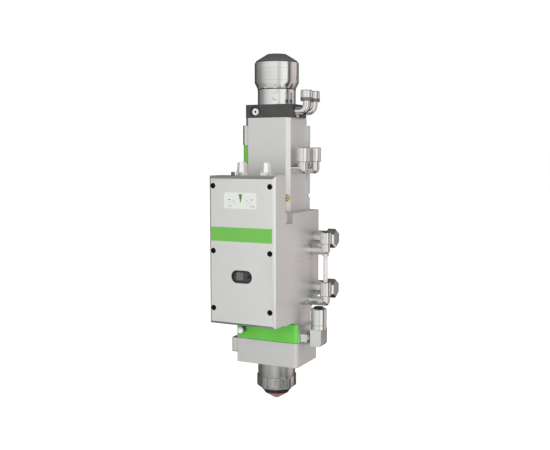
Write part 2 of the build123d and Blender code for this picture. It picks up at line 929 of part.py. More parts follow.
# Lens carriage: cross arm on the rods, bar through the slot, barrel in the bore
arm_front = screw_axis_y - arm_reach
arm_back = body_front - slide_gap
arm_low = carriage_z - arm_height / 2
arm_top = carriage_z + arm_height / 2
barrel_low = carriage_z - barrel_half_height
barrel_top = carriage_z + barrel_half_height
lens_low = carriage_z - lens_seat_drop
lens_high = lens_low + lens_thickness
strip_back = panel_front + pane_recess + pane_thickness + strip_gap + strip_thickness
with BuildPart() as lens_carriage:
    block((-arm_half_width, arm_front, arm_low), (arm_half_width, arm_back, arm_top))
    fillet(lens_carriage.edges().filter_by(Axis.Y), arm_round)
    bar_low = carriage_z - bar_height / 2
    bar_top = carriage_z + bar_height / 2
    block((-bar_half_width, arm_back, bar_low), (bar_half_width, beam_y, bar_top))
    upright(0, beam_y, barrel_low, barrel_top, barrel_radius)
    upright(0, beam_y, barrel_low, barrel_top, lens_radius - lens_rim, Mode.SUBTRACT)
    upright(0, beam_y, lens_low, barrel_top, lens_radius + seat, Mode.SUBTRACT)
    upright(0, screw_axis_y, arm_low, arm_top, nut_body_radius + seat, Mode.SUBTRACT)
    for side in (-1, 1):
        rod_hole = rod_radius + running
        upright(side * rod_x, screw_axis_y, arm_low, arm_top, rod_hole, Mode.SUBTRACT)
    post_left = strip_x - strip_width / 2
    post_right = sight_x + sight_radius
    post_low = window_z - strip_height / 2
    post_high = window_z + strip_height / 2
    block((post_left, strip_back, post_low), (post_right, arm_front, post_high))
lens_carriage.part.label = "lens_carriage"
export_step(lens_carriage.part, "parts/lens_carriage.step")

with BuildPart() as lead_nut:
    upright(0, screw_axis_y, arm_low, arm_top, nut_body_radius)
    upright(0, screw_axis_y, arm_top, arm_top + nut_flange, nut_flange_radius)
    nut_end = arm_top + nut_flange
    upright(0, screw_axis_y, arm_low, nut_end, lead_radius + running, Mode.SUBTRACT)
lead_nut.part.label = "lead_nut"
export_step(lead_nut.part, "parts/lead_nut.step")

with BuildPart() as focus_lens:
    with BuildSketch(Plane.XZ.offset(-beam_y)):
        with BuildLine():
            rim_high = lens_low + lens_edge
            crown = (0, lens_high)
            Polyline(crown, (0, lens_low), (lens_radius, lens_low), (lens_radius, rim_high))
            middle = dome_middle(lens_radius, rim_high, lens_high)
            ThreePointArc((lens_radius, rim_high), middle, crown)
        make_face()
    revolve(axis=beam_axis)
focus_lens.part.label = "focus_lens"
export_step(focus_lens.part, "parts/focus_lens.step")

with BuildPart() as lens_ring:
    ring_inner = lens_radius - lens_rim
    lens_ball = dome_ball(lens_radius, lens_high - rim_high)
    ring_low = lens_high - lens_ball + sqrt(lens_ball**2 - ring_inner**2)
    with BuildSketch(Plane.XY.offset(ring_low)):
        with Locations((0, beam_y)):
            Circle(lens_radius)
            Circle(ring_inner, mode=Mode.SUBTRACT)
    extrude(amount=ring_height)
lens_ring.part.label = "lens_ring"
export_step(lens_ring.part, "parts/lens_ring.step")

with BuildPart() as scale_strip:
    strip_low = (post_left, strip_back - strip_thickness, post_low)
    block(strip_low, (post_left + strip_width, strip_back, post_high))
scale_strip.part.label = "scale_strip"
export_step(scale_strip.part, "parts/scale_strip.step")

with BuildPart() as sight_disc:
    forward(sight_x, window_z, strip_back - strip_thickness, strip_back, sight_radius)
sight_disc.part.label = "sight_disc"
export_step(sight_disc.part, "parts/sight_disc.step")

# Clamp block on top of the collimator housing
with BuildPart() as clamp_block:
    with BuildSketch(Plane.XY.offset(tower_top)):
        with Locations((0, (clamp_front + clamp_back) / 2)):
            Rectangle(2 * clamp_half_width, clamp_back - clamp_front)
    extrude(amount=clamp_height)
    fillet(clamp_block.edges().filter_by(Axis.Z), clamp_edge)
    with BuildSketch(Plane.XY.offset(tower_top)):
        with Locations((clamp_half_width, beam_y)):
            SlotOverall(lug_length, 2 * lug_reach, rotation=90)
    extrude(amount=lug_height)
    upright(0, beam_y, tower_top, clamp_top, receiver_seat_radius + seat, Mode.SUBTRACT)
    upright(lug_x, beam_y, tower_top, lug_top, lug_screw_radius + seat, Mode.SUBTRACT)
    upright(lug_x, beam_y, lug_top, clamp_top, lug_head_radius + slide_gap, Mode.SUBTRACT)
    clamp_seat = clamp_front + clamp_counterbore_depth
    forward(
        clamp_screw_x, clamp_screw_z, clamp_front, clamp_seat, clamp_counterbore, Mode.SUBTRACT
    )
    forward(
        clamp_screw_x,
        clamp_screw_z,
        clamp_seat,
        clamp_seat + clamp_shank_length,
        clamp_shank_radius + seat,
        Mode.SUBTRACT,
    )
clamp_block.part.label = "clamp_block"
export_step(clamp_block.part, "parts/clamp_block.step")

with BuildPart() as clamp_screw:
    clamp_head_front = clamp_seat - clamp_head_height
    forward(clamp_screw_x, clamp_screw_z, clamp_head_front, clamp_seat, clamp_head_radius)
    shank_back = clamp_seat + clamp_shank_length - slide_gap
    forward(clamp_screw_x, clamp_screw_z, clamp_seat, shank_back, clamp_shank_radius)
    with BuildSketch(Plane.XZ.offset(-clamp_head_front)):
        with Locations((clamp_screw_x, clamp_screw_z)):
            RegularPolygon(socket_radius, 6)
    extrude(amount=-clamp_socket_depth, mode=Mode.SUBTRACT)
clamp_screw.part.label = "clamp_screw"
export_step(clamp_screw.part, "parts/clamp_screw.step")

# Fibre receiver, its turning lock collar and the dust plug
with BuildPart() as receiver_barrel:
    receiver_top = collar_bottom - slide_gap
    upright(0, beam_y, tower_top, clamp_top, receiver_seat_radius)
    upright(0, beam_y, clamp_top, receiver_top, receiver_radius)
    upright(0, beam_y, receiver_top, spigot_top, spigot_radius)
    upright(0, beam_y, tower_top, spigot_top, spigot_bore, Mode.SUBTRACT)
    with Locations((0, beam_y, barrel_recess_z)):
        with Locations(Rot(0, 0, barrel_recess_angle)):
            with Locations((0, -receiver_radius, 0)):
                Cylinder(
                    barrel_recess_radius,
                    2 * barrel_recess_depth,
                    rotation=(90, 0, 0),
                    mode=Mode.SUBTRACT,
                )
receiver_barrel.part.label = "receiver_barrel"
export_step(receiver_barrel.part, "parts/receiver_barrel.step")

with BuildPart() as lock_collar:
    with BuildSketch(Plane.XZ.offset(-beam_y)):
        with BuildLine():
            collar_bore = spigot_radius + running
            Polyline(
                (collar_bore, collar_bottom),
                (receiver_radius, collar_bottom),
                (collar_radius, collar_shoulder),
                (collar_radius, collar_top - collar_chamfer),
                (collar_radius - collar_chamfer, collar_top),
                (collar_bore, collar_top),
                close=True,
            )
        make_face()
    revolve(axis=beam_axis)
    with Locations((0, beam_y, collar_bottom)):
        with PolarLocations(collar_radius, collar_slots, start_angle=collar_slot_angle - 90):
            Box(
                2 * collar_slot_depth + 2 * (collar_radius - receiver_radius),
                collar_slot_width,
                2 * collar_slot_height,
                mode=Mode.SUBTRACT,
            )
lock_collar.part.label = "lock_collar"
export_step(lock_collar.part, "parts/lock_collar.step")

with BuildPart() as dust_plug:
    rim_low = collar_top + slide_gap
    rim_top = rim_low + plug_rim
    stem_radius = spigot_bore - running
    upright(0, beam_y, rim_low, rim_top, plug_rim_radius)
    with BuildSketch(Plane.XY.offset(rim_top)):
        with Locations((0, beam_y)):
            RegularPolygon(plug_rim_radius, plug_facets)
    with BuildSketch(Plane.XY.offset(rim_top + plug_height)):
        with Locations((0, beam_y)):
            RegularPolygon(plug_top_radius, plug_facets)
    loft()
    upright(0, beam_y, rim_low - plug_stem_length, rim_low, stem_radius)
    hollow = stem_radius - plug_wall
    upright(0, beam_y, rim_low - plug_stem_length, rim_low, hollow, Mode.SUBTRACT)
dust_plug.part.label = "dust_plug"
export_step(dust_plug.part, "parts/dust_plug.step")

# Neck plate: closes the main housing's bore and carries the nozzle housing
upper_front = block_front + plate_thickness + slide_gap
neck_front = beam_y - main_bore - neck_rim
with BuildPart() as neck_plate:
    block(
        (-block_neck_half, neck_front, neck_bottom),
        (block_neck_half, block_back, body_underside),
    )
    block(
        (-block_neck_half, upper_front, shoulder_top),
        (block_neck_half, block_back, neck_bottom),
    )
    upright(0, beam_y, shoulder_top, body_underside, outlet_bore, Mode.SUBTRACT)
neck_plate.part.label = "neck_plate"
export_step(neck_plate.part, "parts/neck_plate.step")

# Nozzle housing with the slot for the window drawer
tray_low = tray_top - tray_thickness
connector_end = -block_half_width - connector_length
with BuildPart() as nozzle_housing:
    with BuildSketch(Plane.XY.offset(block_bottom)) as block_outline:
        with Locations((0, (block_front + block_back) / 2)):
            Rectangle(2 * block_half_width, block_back - block_front)
        right_corner = block_outline.vertices().group_by(Axis.Y)[0].sort_by(Axis.X)[-1]
        fillet(right_corner, block_corner)
        left_corner = block_outline.vertices().group_by(Axis.Y)[0].sort_by(Axis.X)[0]
        fillet(left_corner, block_left_corner)
    extrude(amount=face_split - block_bottom)
    block(
        (-block_half_width, upper_front, face_split),
        (block_half_width, block_back, shoulder_top),
    )
    block(
        (-tray_half_width - slide_gap, upper_front, tray_low - slide_gap),
        (tray_half_width + slide_gap, tray_back + slide_gap, shoulder_top),
        Mode.SUBTRACT,
    )
    with Locations((0, beam_y, (block_bottom + tray_low) / 2)):
        Cone(beam_bore_low, window_aperture, tray_low - block_bottom, mode=Mode.SUBTRACT)
    port_depth = block_half_width - tray_half_width - drive_wall
    across(
        port_y,
        port_z,
        block_half_width - port_depth,
        block_half_width,
        port_thread_radius + seat,
        Mode.SUBTRACT,
    )
nozzle_housing.part.label = "nozzle_housing"
export_step(nozzle_housing.part, "parts/nozzle_housing.step")

# Window drawer: green face plate, tray, window, gasket and ball knob
with BuildPart() as window_drawer:
    plate_low = face_split + slide_gap
    plate_back = block_front + plate_thickness
    with BuildSketch(Plane.XY.offset(plate_low)) as plate_outline:
        with Locations((0, (block_front + plate_back) / 2)):
            Rectangle(2 * block_half_width, plate_thickness)
        right_corner = plate_outline.vertices().group_by(Axis.Y)[0].sort_by(Axis.X)[-1]
        fillet(right_corner, block_corner)
        left_corner = plate_outline.vertices().group_by(Axis.Y)[0].sort_by(Axis.X)[0]
        fillet(left_corner, block_left_corner)
    extrude(amount=neck_bottom - slide_gap - plate_low)
    block((-tray_half_width, plate_back, tray_low), (tray_half_width, tray_back, tray_top))
    window_seat = tray_top - gasket_height - window_thickness
    upright(0, beam_y, tray_low, tray_top, window_aperture, Mode.SUBTRACT)
    upright(0, beam_y, window_seat, tray_top, window_radius + seat, Mode.SUBTRACT)
window_drawer.part.label = "window_drawer"
export_step(window_drawer.part, "parts/window_drawer.step")

with BuildPart() as protective_window:
    upright(0, beam_y, window_seat, window_seat + window_thickness, window_radius)
protective_window.part.label = "protective_window"
export_step(protective_window.part, "parts/protective_window.step")

with BuildPart() as window_gasket:
    gasket_low = window_seat + window_thickness
    upright(0, beam_y, gasket_low, tray_top, window_radius)
    upright(0, beam_y, gasket_low, tray_top, window_radius - gasket_width, Mode.SUBTRACT)
window_gasket.part.label = "window_gasket"
export_step(window_gasket.part, "parts/window_gasket.step")

with BuildPart() as knob_stem:
    stem_end = block_front - knob_stem_length
    forward(knob_x, knob_z, stem_end, block_front, knob_stem_radius)
    forward(knob_x, knob_z, block_front - knob_collar, block_front, knob_stem_radius + knob_collar)
knob_stem.part.label = "knob_stem"
export_step(knob_stem.part, "parts/knob_stem.step")

with BuildPart() as knob_ball:
    with Locations((knob_x, stem_end, knob_z)):
        Sphere(knob_radius)
    forward(knob_x, knob_z, stem_end, stem_end + knob_radius, knob_stem_radius + seat, Mode.SUBTRACT)
knob_ball.part.label = "knob_ball"
export_step(knob_ball.part, "parts/knob_ball.step")

# Sensor barrel, castellated lock nut, ceramic ring and nozzle
nut_top = barrel_low_z
nut_low = nut_top - nut_height
nut_seat = nut_low + nut_wall
nut_bore = barrel_low_radius - nut_wall
lip_low = nut_low - nut_lip_height
nozzle_shoulder_z = lip_low - ceramic_drop
nozzle_tip_z = nozzle_shoulder_z - nozzle_length
with BuildPart() as sensor_barrel:
    with BuildSketch(Plane.XZ.offset(-beam_y)):
        with BuildLine():
            Polyline(
                (beam_bore_low, block_bottom),
                (barrel_top_radius, block_bottom),
                (barrel_top_radius, block_bottom - barrel_straight),
                (barrel_low_radius, barrel_low_z),
                (nut_bore - seat, barrel_low_z),
                (nut_bore - seat, nut_seat + ceramic_flange),
                (barrel_throat, nut_seat + ceramic_flange),
                close=True,
            )
        make_face()
    revolve(axis=beam_axis)
sensor_barrel.part.label = "sensor_barrel"
export_step(sensor_barrel.part, "parts/sensor_barrel.step")

with BuildPart() as nozzle_nut:
    upright(0, beam_y, nut_low, nut_top, nut_radius)
    chamfer(nozzle_nut.faces().sort_by(Axis.Z)[0].edges(), nut_chamfer)
    upright(0, beam_y, lip_low, nut_low, nut_lip_radius)
    upright(0, beam_y, nut_seat, nut_top, nut_bore, Mode.SUBTRACT)
    upright(0, beam_y, lip_low, nut_seat, ceramic_radius + seat, Mode.SUBTRACT)
    with Locations((0, beam_y, (nut_low + nut_top) / 2 - nut_rim)):
        with PolarLocations(nut_radius, nut_ribs):
            Box(2 * nut_groove_depth, nut_groove_width, nut_height, mode=Mode.SUBTRACT)
nozzle_nut.part.label = "nozzle_nut"
export_step(nozzle_nut.part, "parts/nozzle_nut.step")

with BuildPart() as ceramic_ring:
    upright(0, beam_y, nut_seat, nut_seat + ceramic_flange, nut_bore - seat)
    upright(0, beam_y, nozzle_shoulder_z, nut_seat, ceramic_radius)
    chamfer(ceramic_ring.faces().sort_by(Axis.Z)[0].edges(), ceramic_chamfer)
    ceramic_top = nut_seat + ceramic_flange
    upright(0, beam_y, nozzle_shoulder_z, ceramic_top, nozzle_thread_radius + seat, Mode.SUBTRACT)
ceramic_ring.part.label = "ceramic_ring"
export_step(ceramic_ring.part, "parts/ceramic_ring.step")

with BuildPart() as nozzle:
    with BuildSketch(Plane.XZ.offset(-beam_y)):
        with BuildLine():
            Polyline(
                (nozzle_bore, nozzle_tip_z),
                (nozzle_tip_radius, nozzle_tip_z),
                (nozzle_shoulder_radius, nozzle_shoulder_z - nozzle_rim),
                (nozzle_shoulder_radius, nozzle_shoulder_z),
                (nozzle_thread_radius, nozzle_shoulder_z),
                (nozzle_thread_radius, ceramic_top),
                (nozzle_thread_radius - nozzle_wall, ceramic_top),
                close=True,
            )
        make_face()
    revolve(axis=beam_axis)
nozzle.part.label = "nozzle"
export_step(nozzle.part, "parts/nozzle.step")

with BuildPart() as sensor_connector:
    half_side = connector_side / 2
    block(
        (connector_end, beam_y - half_side, connector_z - half_side),
        (-block_half_width, beam_y + half_side, connector_z + half_side),
    )
    chamfer(sensor_connector.edges().filter_by(Axis.X), connector_corner)
    chamfer(sensor_connector.faces().sort_by(Axis.X)[0].edges(), connector_edge)
    socket_floor = connector_end + connector_socket_depth
    socket = connector_socket_radius
    across(beam_y, connector_z, connector_end, socket_floor, socket, Mode.SUBTRACT)
    pin_tip = connector_end + connector_pin_inset
    across(beam_y, connector_z, pin_tip, socket_floor, connector_pin_radius)
sensor_connector.part.label = "sensor_connector"
export_step(sensor_connector.part, "parts/sensor_connector.step")


def elbow(root_x, root_y, root_z, corner_x, top_z, radius, base_radius, base_length):
    """A machined port elbow: base flange and leg along +X, ball corner, riser up +Z."""
    with BuildPart() as fitting:
        across(root_y, root_z, root_x, root_x + base_length, base_radius)
        across(root_y, root_z, root_x, corner_x, radius)
        with Locations((corner_x, root_y, root_z)):
            Sphere(radius)
        upright(corner_x, root_y, root_z, top_z, radius)
    return fitting.part


def tube_nut(x, y, low, high, radius, grip_radius, bore, ribs):
    """A ribbed sleeve nut that grips a riser below and takes a hose above."""
    with BuildPart() as sleeve:
        upright(x, y, low, high, radius)
        chamfer(sleeve.faces().sort_by(Axis.Z)[-1].edges(), nut_edge)
        upright(x, y, low, low + nut_grip, grip_radius + seat, Mode.SUBTRACT)
        upright(x, y, low, high, bore, Mode.SUBTRACT)
        with Locations((x, y, (low + high) / 2 + nut_edge)):
            with PolarLocations(radius, ribs):
                Box(2 * rib_cut, rib_cut_width, high - low, mode=Mode.SUBTRACT)
    return sleeve.part


# Bent port tubes on the clamp block and their nuts
with BuildPart() as top_tubes:
    for tube_y in top_port_ys:
        root = (clamp_half_width, tube_y, top_port_z)
        corner = (top_port_x, tube_y, top_port_z)
        tip = (top_port_x, tube_y, top_nut_low + nut_grip)
        with BuildLine():
            FilletPolyline(root, corner, tip, radius=top_tube_bend)
        with BuildSketch(Plane(root, z_dir=(1, 0, 0))):
            Circle(top_tube_radius)
            Circle(top_tube_bore, mode=Mode.SUBTRACT)
        sweep()
        with BuildSketch(Plane(root, z_dir=(1, 0, 0))):
            Circle(top_flange_radius)
            Circle(top_tube_bore, mode=Mode.SUBTRACT)
        extrude(amount=top_flange_length)
top_tubes.part.label = "top_tubes"
export_step(top_tubes.part, "parts/top_tubes.step")

top_pair = [
    tube_nut(
        top_port_x,
        tube_y,
        top_nut_low,
        top_nut_high,
        top_nut_radius,
        top_tube_radius,
        top_tube_bore,
        top_nut_ribs,
    )
    for tube_y in top_port_ys
]
with BuildPart() as top_nuts:
    add(top_pair)
top_nuts.part.label = "top_nuts"
export_step(top_nuts.part, "parts/top_nuts.step")

# Port elbows on the collimator housing and their nuts
for place, port_x, elbow_y in zip(("front", "rear"), side_port_x, side_port_ys):
    side_elbow = elbow(
        tower_half_width,
        elbow_y,
        side_port_z,
        port_x,
        side_nut_low + nut_grip,
        side_leg_radius,
        side_flange_radius,
        side_flange_length,
    )
    side_elbow.label = f"side_elbow_{place}"
    export_step(side_elbow, f"parts/side_elbow_{place}.step")

side_pair = [
    tube_nut(
        port_x,
        elbow_y,
        side_nut_low,
        side_nut_high,
        side_nut_radius,
        side_leg_radius,
        side_bore,
        side_nut_ribs,
    )
    for port_x, elbow_y in zip(side_port_x, side_port_ys)
]
with BuildPart() as side_nuts:
    add(side_pair)
side_nuts.part.label = "side_nuts"
export_step(side_nuts.part, "parts/side_nuts.step")

# The two stations on the body, joined by a link tube
link_top = station_leg_z[0] - station_leg_radius + link_sink
link_low = station_nut_high[1] - link_sink
for place, leg_z, low_z in zip(("upper", "lower"), station_leg_z, station_nut_low):
    station_form = elbow(
        half_width,
        station_y,
        leg_z,
        station_x,
        low_z + nut_grip,
        station_leg_radius,
        station_flange_radius,
        station_flange_length,
    )
    with BuildPart() as station_elbow:
        add(station_form)
        if place == "upper":
            stub_low = link_top - link_sink - link_stub
            upright(station_x, station_y, stub_low, leg_z, link_radius + link_stub)
            hole = link_radius + seat
            upright(station_x, station_y, stub_low, link_top, hole, Mode.SUBTRACT)
    station_elbow.part.label = f"station_elbow_{place}"
    export_step(station_elbow.part, f"parts/station_elbow_{place}.step")

station_bores = (station_bore, link_radius + seat)
station_pair = [
    tube_nut(
        station_x,
        station_y,
        low_z,
        high_z,
        station_nut_radius,
        station_leg_radius,
        bore,
        station_nut_ribs,
    )
    for low_z, high_z, bore in zip(station_nut_low, station_nut_high, station_bores)
]
with BuildPart() as station_nuts:
    add(station_pair)
station_nuts.part.label = "station_nuts"
export_step(station_nuts.part, "parts/station_nuts.step")

with BuildPart() as link_tube:
    upright(station_x, station_y, link_low, link_top, link_radius)
link_tube.part.label = "link_tube"
export_step(link_tube.part, "parts/link_tube.step")

for place, axis_z in zip(("upper", "lower"), coupling_z):
    with BuildPart() as side_coupling:
        across(coupling_y, axis_z, half_width, coupling_barrel_end, coupling_barrel_radius)
        with BuildSketch(Plane.YZ.offset(coupling_barrel_end)):
            with Locations((coupling_y, axis_z)):
                RegularPolygon(coupling_flats / 2, 6, major_radius=False, rotation=30)
        extrude(amount=coupling_end - coupling_barrel_end)
        chamfer(side_coupling.faces().sort_by(Axis.X)[-1].edges(), coupling_edge)
        with BuildSketch(Plane.YZ.offset(coupling_barrel_end - coupling_ring)):
            with Locations((coupling_y, axis_z)):
                Circle(coupling_barrel_radius)
                Circle(coupling_barrel_radius - coupling_ring_depth, mode=Mode.SUBTRACT)
        extrude(amount=coupling_ring, mode=Mode.SUBTRACT)
    side_coupling.part.label = f"side_coupling_{place}"
    export_step(side_coupling.part, f"parts/side_coupling_{place}.step")

# Gas inlet on the nozzle housing
gas_hex_end = block_half_width + gas_hex_length
gas_block_low_x = gas_hex_end + gas_thread_length
gas_block_high_x = gas_block_low_x + gas_block_width
gas_x = (gas_block_low_x + gas_block_high_x) / 2
gas_block_top = port_z + gas_block_rise + gas_block_height / 2
gas_block_low = gas_block_top - gas_block_height
gas_channel = gas_bore_radius - gas_channel_step
with BuildPart() as gas_adapter:
    across(port_y, port_z, block_half_width - port_depth, block_half_width, port_thread_radius)
    with BuildSketch(Plane.YZ.offset(block_half_width)):
        with Locations((port_y, port_z)):
            RegularPolygon(gas_hex_flats / 2, 6, major_radius=False, rotation=30)
    extrude(amount=gas_hex_length)
    across(port_y, port_z, gas_hex_end, gas_block_low_x, gas_thread_radius)
    with BuildSketch(Plane.YZ.offset(gas_hex_end + gas_groove_start)):
        with Locations((port_y, port_z)):
            Circle(gas_thread_radius)
            Circle(gas_thread_radius - gas_groove_depth, mode=Mode.SUBTRACT)
    extrude(amount=gas_groove_width, mode=Mode.SUBTRACT)
    across(
        port_y,
        port_z,
        block_half_width - port_depth,
        gas_block_low_x,
        gas_channel,
        Mode.SUBTRACT,
    )
gas_adapter.part.label = "gas_adapter"
export_step(gas_adapter.part, "parts/gas_adapter.step")

with BuildPart() as gas_elbow:
    with BuildSketch(Plane.XY.offset(gas_block_low)):
        with Locations((gas_x, port_y)):
            Rectangle(gas_block_width, gas_block_depth)
    extrude(amount=gas_block_height)
    chamfer(gas_elbow.faces().sort_by(Axis.Z)[0].edges().sort_by(Axis.X)[-1], gas_block_edge)
    across(port_y, port_z, gas_block_low_x, gas_x, gas_channel, Mode.SUBTRACT)
    upright(gas_x, port_y, port_z, gas_block_top, gas_channel, Mode.SUBTRACT)
gas_elbow.part.label = "gas_elbow"
export_step(gas_elbow.part, "parts/gas_elbow.step")

with BuildPart() as gas_socket:
    ring_bottom = gas_socket_top - gas_ring_sleeve
    bore_floor_z = ring_bottom - gas_ring_travel - slide_gap
    upright(gas_x, port_y, gas_block_top, gas_socket_top, gas_socket_radius)
    chamfer(gas_socket.faces().sort_by(Axis.Z)[-1].edges(), gas_socket_edge)
    with BuildSketch(Plane.XY.offset(gas_block_top + gas_band)):
        with Locations((gas_x, port_y)):
            Circle(gas_socket_radius)
            Circle(gas_socket_radius - gas_band_depth, mode=Mode.SUBTRACT)
    extrude(amount=gas_band_height, mode=Mode.SUBTRACT)
    upright(gas_x, port_y, gas_block_top, gas_socket_top, gas_channel, Mode.SUBTRACT)
    tube_floor = bore_floor_z - gas_tube_grip
    upright(gas_x, port_y, tube_floor, bore_floor_z, gas_bore_radius, Mode.SUBTRACT)
    ring_bore = gas_ring_radius + running
    upright(gas_x, port_y, bore_floor_z, gas_socket_top, ring_bore, Mode.SUBTRACT)
gas_socket.part.label = "gas_socket"
export_step(gas_socket.part, "parts/gas_socket.step")

with BuildPart() as gas_release_ring:
    ring_top = gas_socket_top + gas_ring_height
    upright(gas_x, port_y, ring_bottom, ring_top, gas_ring_radius)
    upright(gas_x, port_y, ring_bottom, ring_top, gas_bore_radius, Mode.SUBTRACT)
gas_release_ring.part.label = "gas_release_ring"
export_step(gas_release_ring.part, "parts/gas_release_ring.step")

# Cable glands on top of the drive box
gland_base_z = drive_top + gland_flange
with BuildPart() as gland_bodies:
    for side in (-1, 1):
        with BuildSketch(Plane.XY.offset(drive_top)):
            with Locations((side * gland_x, gland_y)):
                RegularPolygon(gland_flange_radius, 6)
        extrude(amount=gland_flange)
        upright(side * gland_x, gland_y, drive_top - drive_floor, drive_top, gland_thread_radius)
        upright(
            side * gland_x,
            gland_y,
            drive_top - drive_floor,
            gland_base_z,
            gland_bore,
            Mode.SUBTRACT,
        )
gland_bodies.part.label = "gland_bodies"
export_step(gland_bodies.part, "parts/gland_bodies.step")

with BuildPart() as gland_nuts:
    for side in (-1, 1):
        with BuildSketch(Plane.XY.offset(gland_base_z)):
            with Locations((side * gland_x, gland_y)):
                RegularPolygon(gland_base_radius, gland_nut_sides)
        with BuildSketch(Plane.XY.offset(gland_base_z + gland_nut_height)):
            with Locations((side * gland_x, gland_y)):
                RegularPolygon(gland_top_radius, gland_nut_sides)
        loft()
        gland_end = gland_base_z + gland_nut_height
        upright(side * gland_x, gland_y, gland_base_z, gland_end, gland_bore, Mode.SUBTRACT)
gland_nuts.part.label = "gland_nuts"
export_step(gland_nuts.part, "parts/gland_nuts.step")
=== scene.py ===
"""Finishes, fine detail and studio stage for the laser cutting head."""

import math

import bmesh
import bpy
from mathutils import Matrix, Vector


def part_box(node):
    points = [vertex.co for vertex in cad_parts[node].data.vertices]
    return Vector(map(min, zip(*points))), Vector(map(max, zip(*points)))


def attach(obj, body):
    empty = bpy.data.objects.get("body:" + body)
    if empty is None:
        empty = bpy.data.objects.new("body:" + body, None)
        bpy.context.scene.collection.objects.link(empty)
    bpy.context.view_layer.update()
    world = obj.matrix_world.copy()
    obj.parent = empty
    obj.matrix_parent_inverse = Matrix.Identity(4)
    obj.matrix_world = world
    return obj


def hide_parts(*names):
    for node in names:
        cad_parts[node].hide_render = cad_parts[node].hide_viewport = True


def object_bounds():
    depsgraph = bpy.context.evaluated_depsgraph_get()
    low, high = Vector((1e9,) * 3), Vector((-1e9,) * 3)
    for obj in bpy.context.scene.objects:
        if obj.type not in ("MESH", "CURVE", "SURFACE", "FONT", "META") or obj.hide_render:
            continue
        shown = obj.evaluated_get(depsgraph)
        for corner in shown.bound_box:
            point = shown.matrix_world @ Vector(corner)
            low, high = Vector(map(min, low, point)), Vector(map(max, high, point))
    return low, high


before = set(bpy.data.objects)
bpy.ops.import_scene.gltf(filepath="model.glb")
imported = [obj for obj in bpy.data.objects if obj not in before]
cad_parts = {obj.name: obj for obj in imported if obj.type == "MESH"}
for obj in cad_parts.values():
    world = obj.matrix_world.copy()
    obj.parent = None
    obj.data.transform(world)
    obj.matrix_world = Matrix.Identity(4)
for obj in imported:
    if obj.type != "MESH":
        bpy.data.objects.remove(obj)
cad_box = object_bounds()

bl_info = {
    "name": "Laser Cutting Head",
    "version": (1, 0, 0),
    "blender": (4, 5, 0),
    "location": "View3D > Sidebar > Cutting Head",
    "description": "Dresses the cutting head's solids and sets up its studio stage",
    "category": "Object",
}

MM = 0.001
FRONT = (0, -1, 0)
UP = (0, 0, 1)
LEFT = (-1, 0, 0)
RIGHT = (1, 0, 0)

# Edges sharper than these angles, in degrees, are rounded, or stay sharp in a smooth piece
ROUNDED_ANGLE = 28.0
CREASE_ANGLE = 35.0
# Points closer than this, in metres, are one point: in a solid's mesh and in a new one
SOLID_WELD = 0.000002
WELD = 0.000001
# Radius in mm at which a turned face ends in its middle
TIP = 0.01


def srgb(red, green, blue):
    """Linear light of a colour given on the 0 to 255 screen scale."""
    shares = [value / 255 for value in (red, green, blue)]
    return tuple(v / 12.92 if v <= 0.04045 else ((v + 0.055) / 1.055) ** 2.4 for v in shares)


def colour_property(name, description, default):
    """A colour that the sidebar shows."""
    return bpy.props.FloatVectorProperty(
        name=name, description=description, default=default,
        subtype="COLOR", size=3, min=0.0, max=1.0,
    )


def length_property(name, description, default):
    """A length in metres that the sidebar shows."""
    return bpy.props.FloatProperty(
        name=name, description=description, default=default, min=0.0, unit="LENGTH", precision=5
    )


def power_property(name, description, default):
    """A lamp's power in watts that the sidebar shows."""
    return bpy.props.FloatProperty(
        name=name, description=description, default=default, min=0.0, unit="POWER"
    )


class CuttingHeadFinishes(bpy.types.PropertyGroup):
    """Colours of the head's paints and metals."""

    casting: colour_property("Casting paint", "Fine powder coat of the housings", srgb(222, 222, 220))
    cover: colour_property("Cover paint", "Satin paint of the drive cover", srgb(236, 238, 235))
    green: colour_property("Green", "Stripe and side cover's inlay", srgb(113, 187, 82))
    black: colour_property("Black anodising", "Clamp block and motor", srgb(69, 69, 70))
    screw: colour_property("Black oxide", "Cover screws", srgb(14, 14, 15))
    chrome: colour_property("Chrome", "Receiver, collar and hose fittings", srgb(238, 238, 236))
    steel: colour_property("Turned steel", "Sensor barrel, lock nut, rods", srgb(205, 204, 202))
    aluminium: colour_property("Aluminium", "Lens cell and carriage", srgb(214, 215, 216))
    brass: colour_property("Brass", "Lock screw and lead nut", srgb(244, 200, 118))
    copper: colour_property("Copper", "Nozzle", srgb(200, 146, 138))
    label: colour_property("Index plate", "Face of the index plate", srgb(213, 216, 211))
    tube: colour_property("Link tube", "Tube between the two stations", srgb(216, 200, 201))


class CuttingHeadDetails(bpy.types.PropertyGroup):
    """Sizes of the detail that goes on the solids."""

    casting_edge: length_property("Casting edge", "Rounding of the painted edges", 0.35 * MM)
    fitting_edge: length_property("Fitting edge", "Rounding of the metal fittings' edges", 0.15 * MM)
    seal_width: length_property("Window seal", "Width of the black ring round the window", 1.1 * MM)
    print_depth: length_property("Print thickness", "Thickness of the marks on plates", 0.06 * MM)
    screw_lead: length_property("Screw lead", "Lead of the focus screw", 2.0 * MM)
    bolt_pitch: length_property("Mounting thread pitch", "Pitch of the M6 threads", 1.0 * MM)


class CuttingHeadStage(bpy.types.PropertyGroup):
    """Camera, lamps and floor."""

    lens: bpy.props.FloatProperty(
        name="Lens", description="Focal length of the camera", default=52.51, min=1.0, unit="CAMERA"
    )
    key: power_property("Key lamp", "Power of the front lamp", 17.5)
    fill: power_property("Side lamp", "Power of the lamp at the right", 15.0)
    floor_gap: length_property("Floor gap", "Space under the nozzle's tip", 45.0 * MM)
    backdrop: colour_property("Backdrop", "Colour behind the head", (1.0, 1.0, 1.0))


# Materials


def colours():
    """The colours that the sidebar sets."""
    return bpy.context.scene.cutting_head_finishes


def shade(colour, factor):
    """The same colour, lighter or darker."""
    return tuple(min(1.0, part * factor) for part in colour)


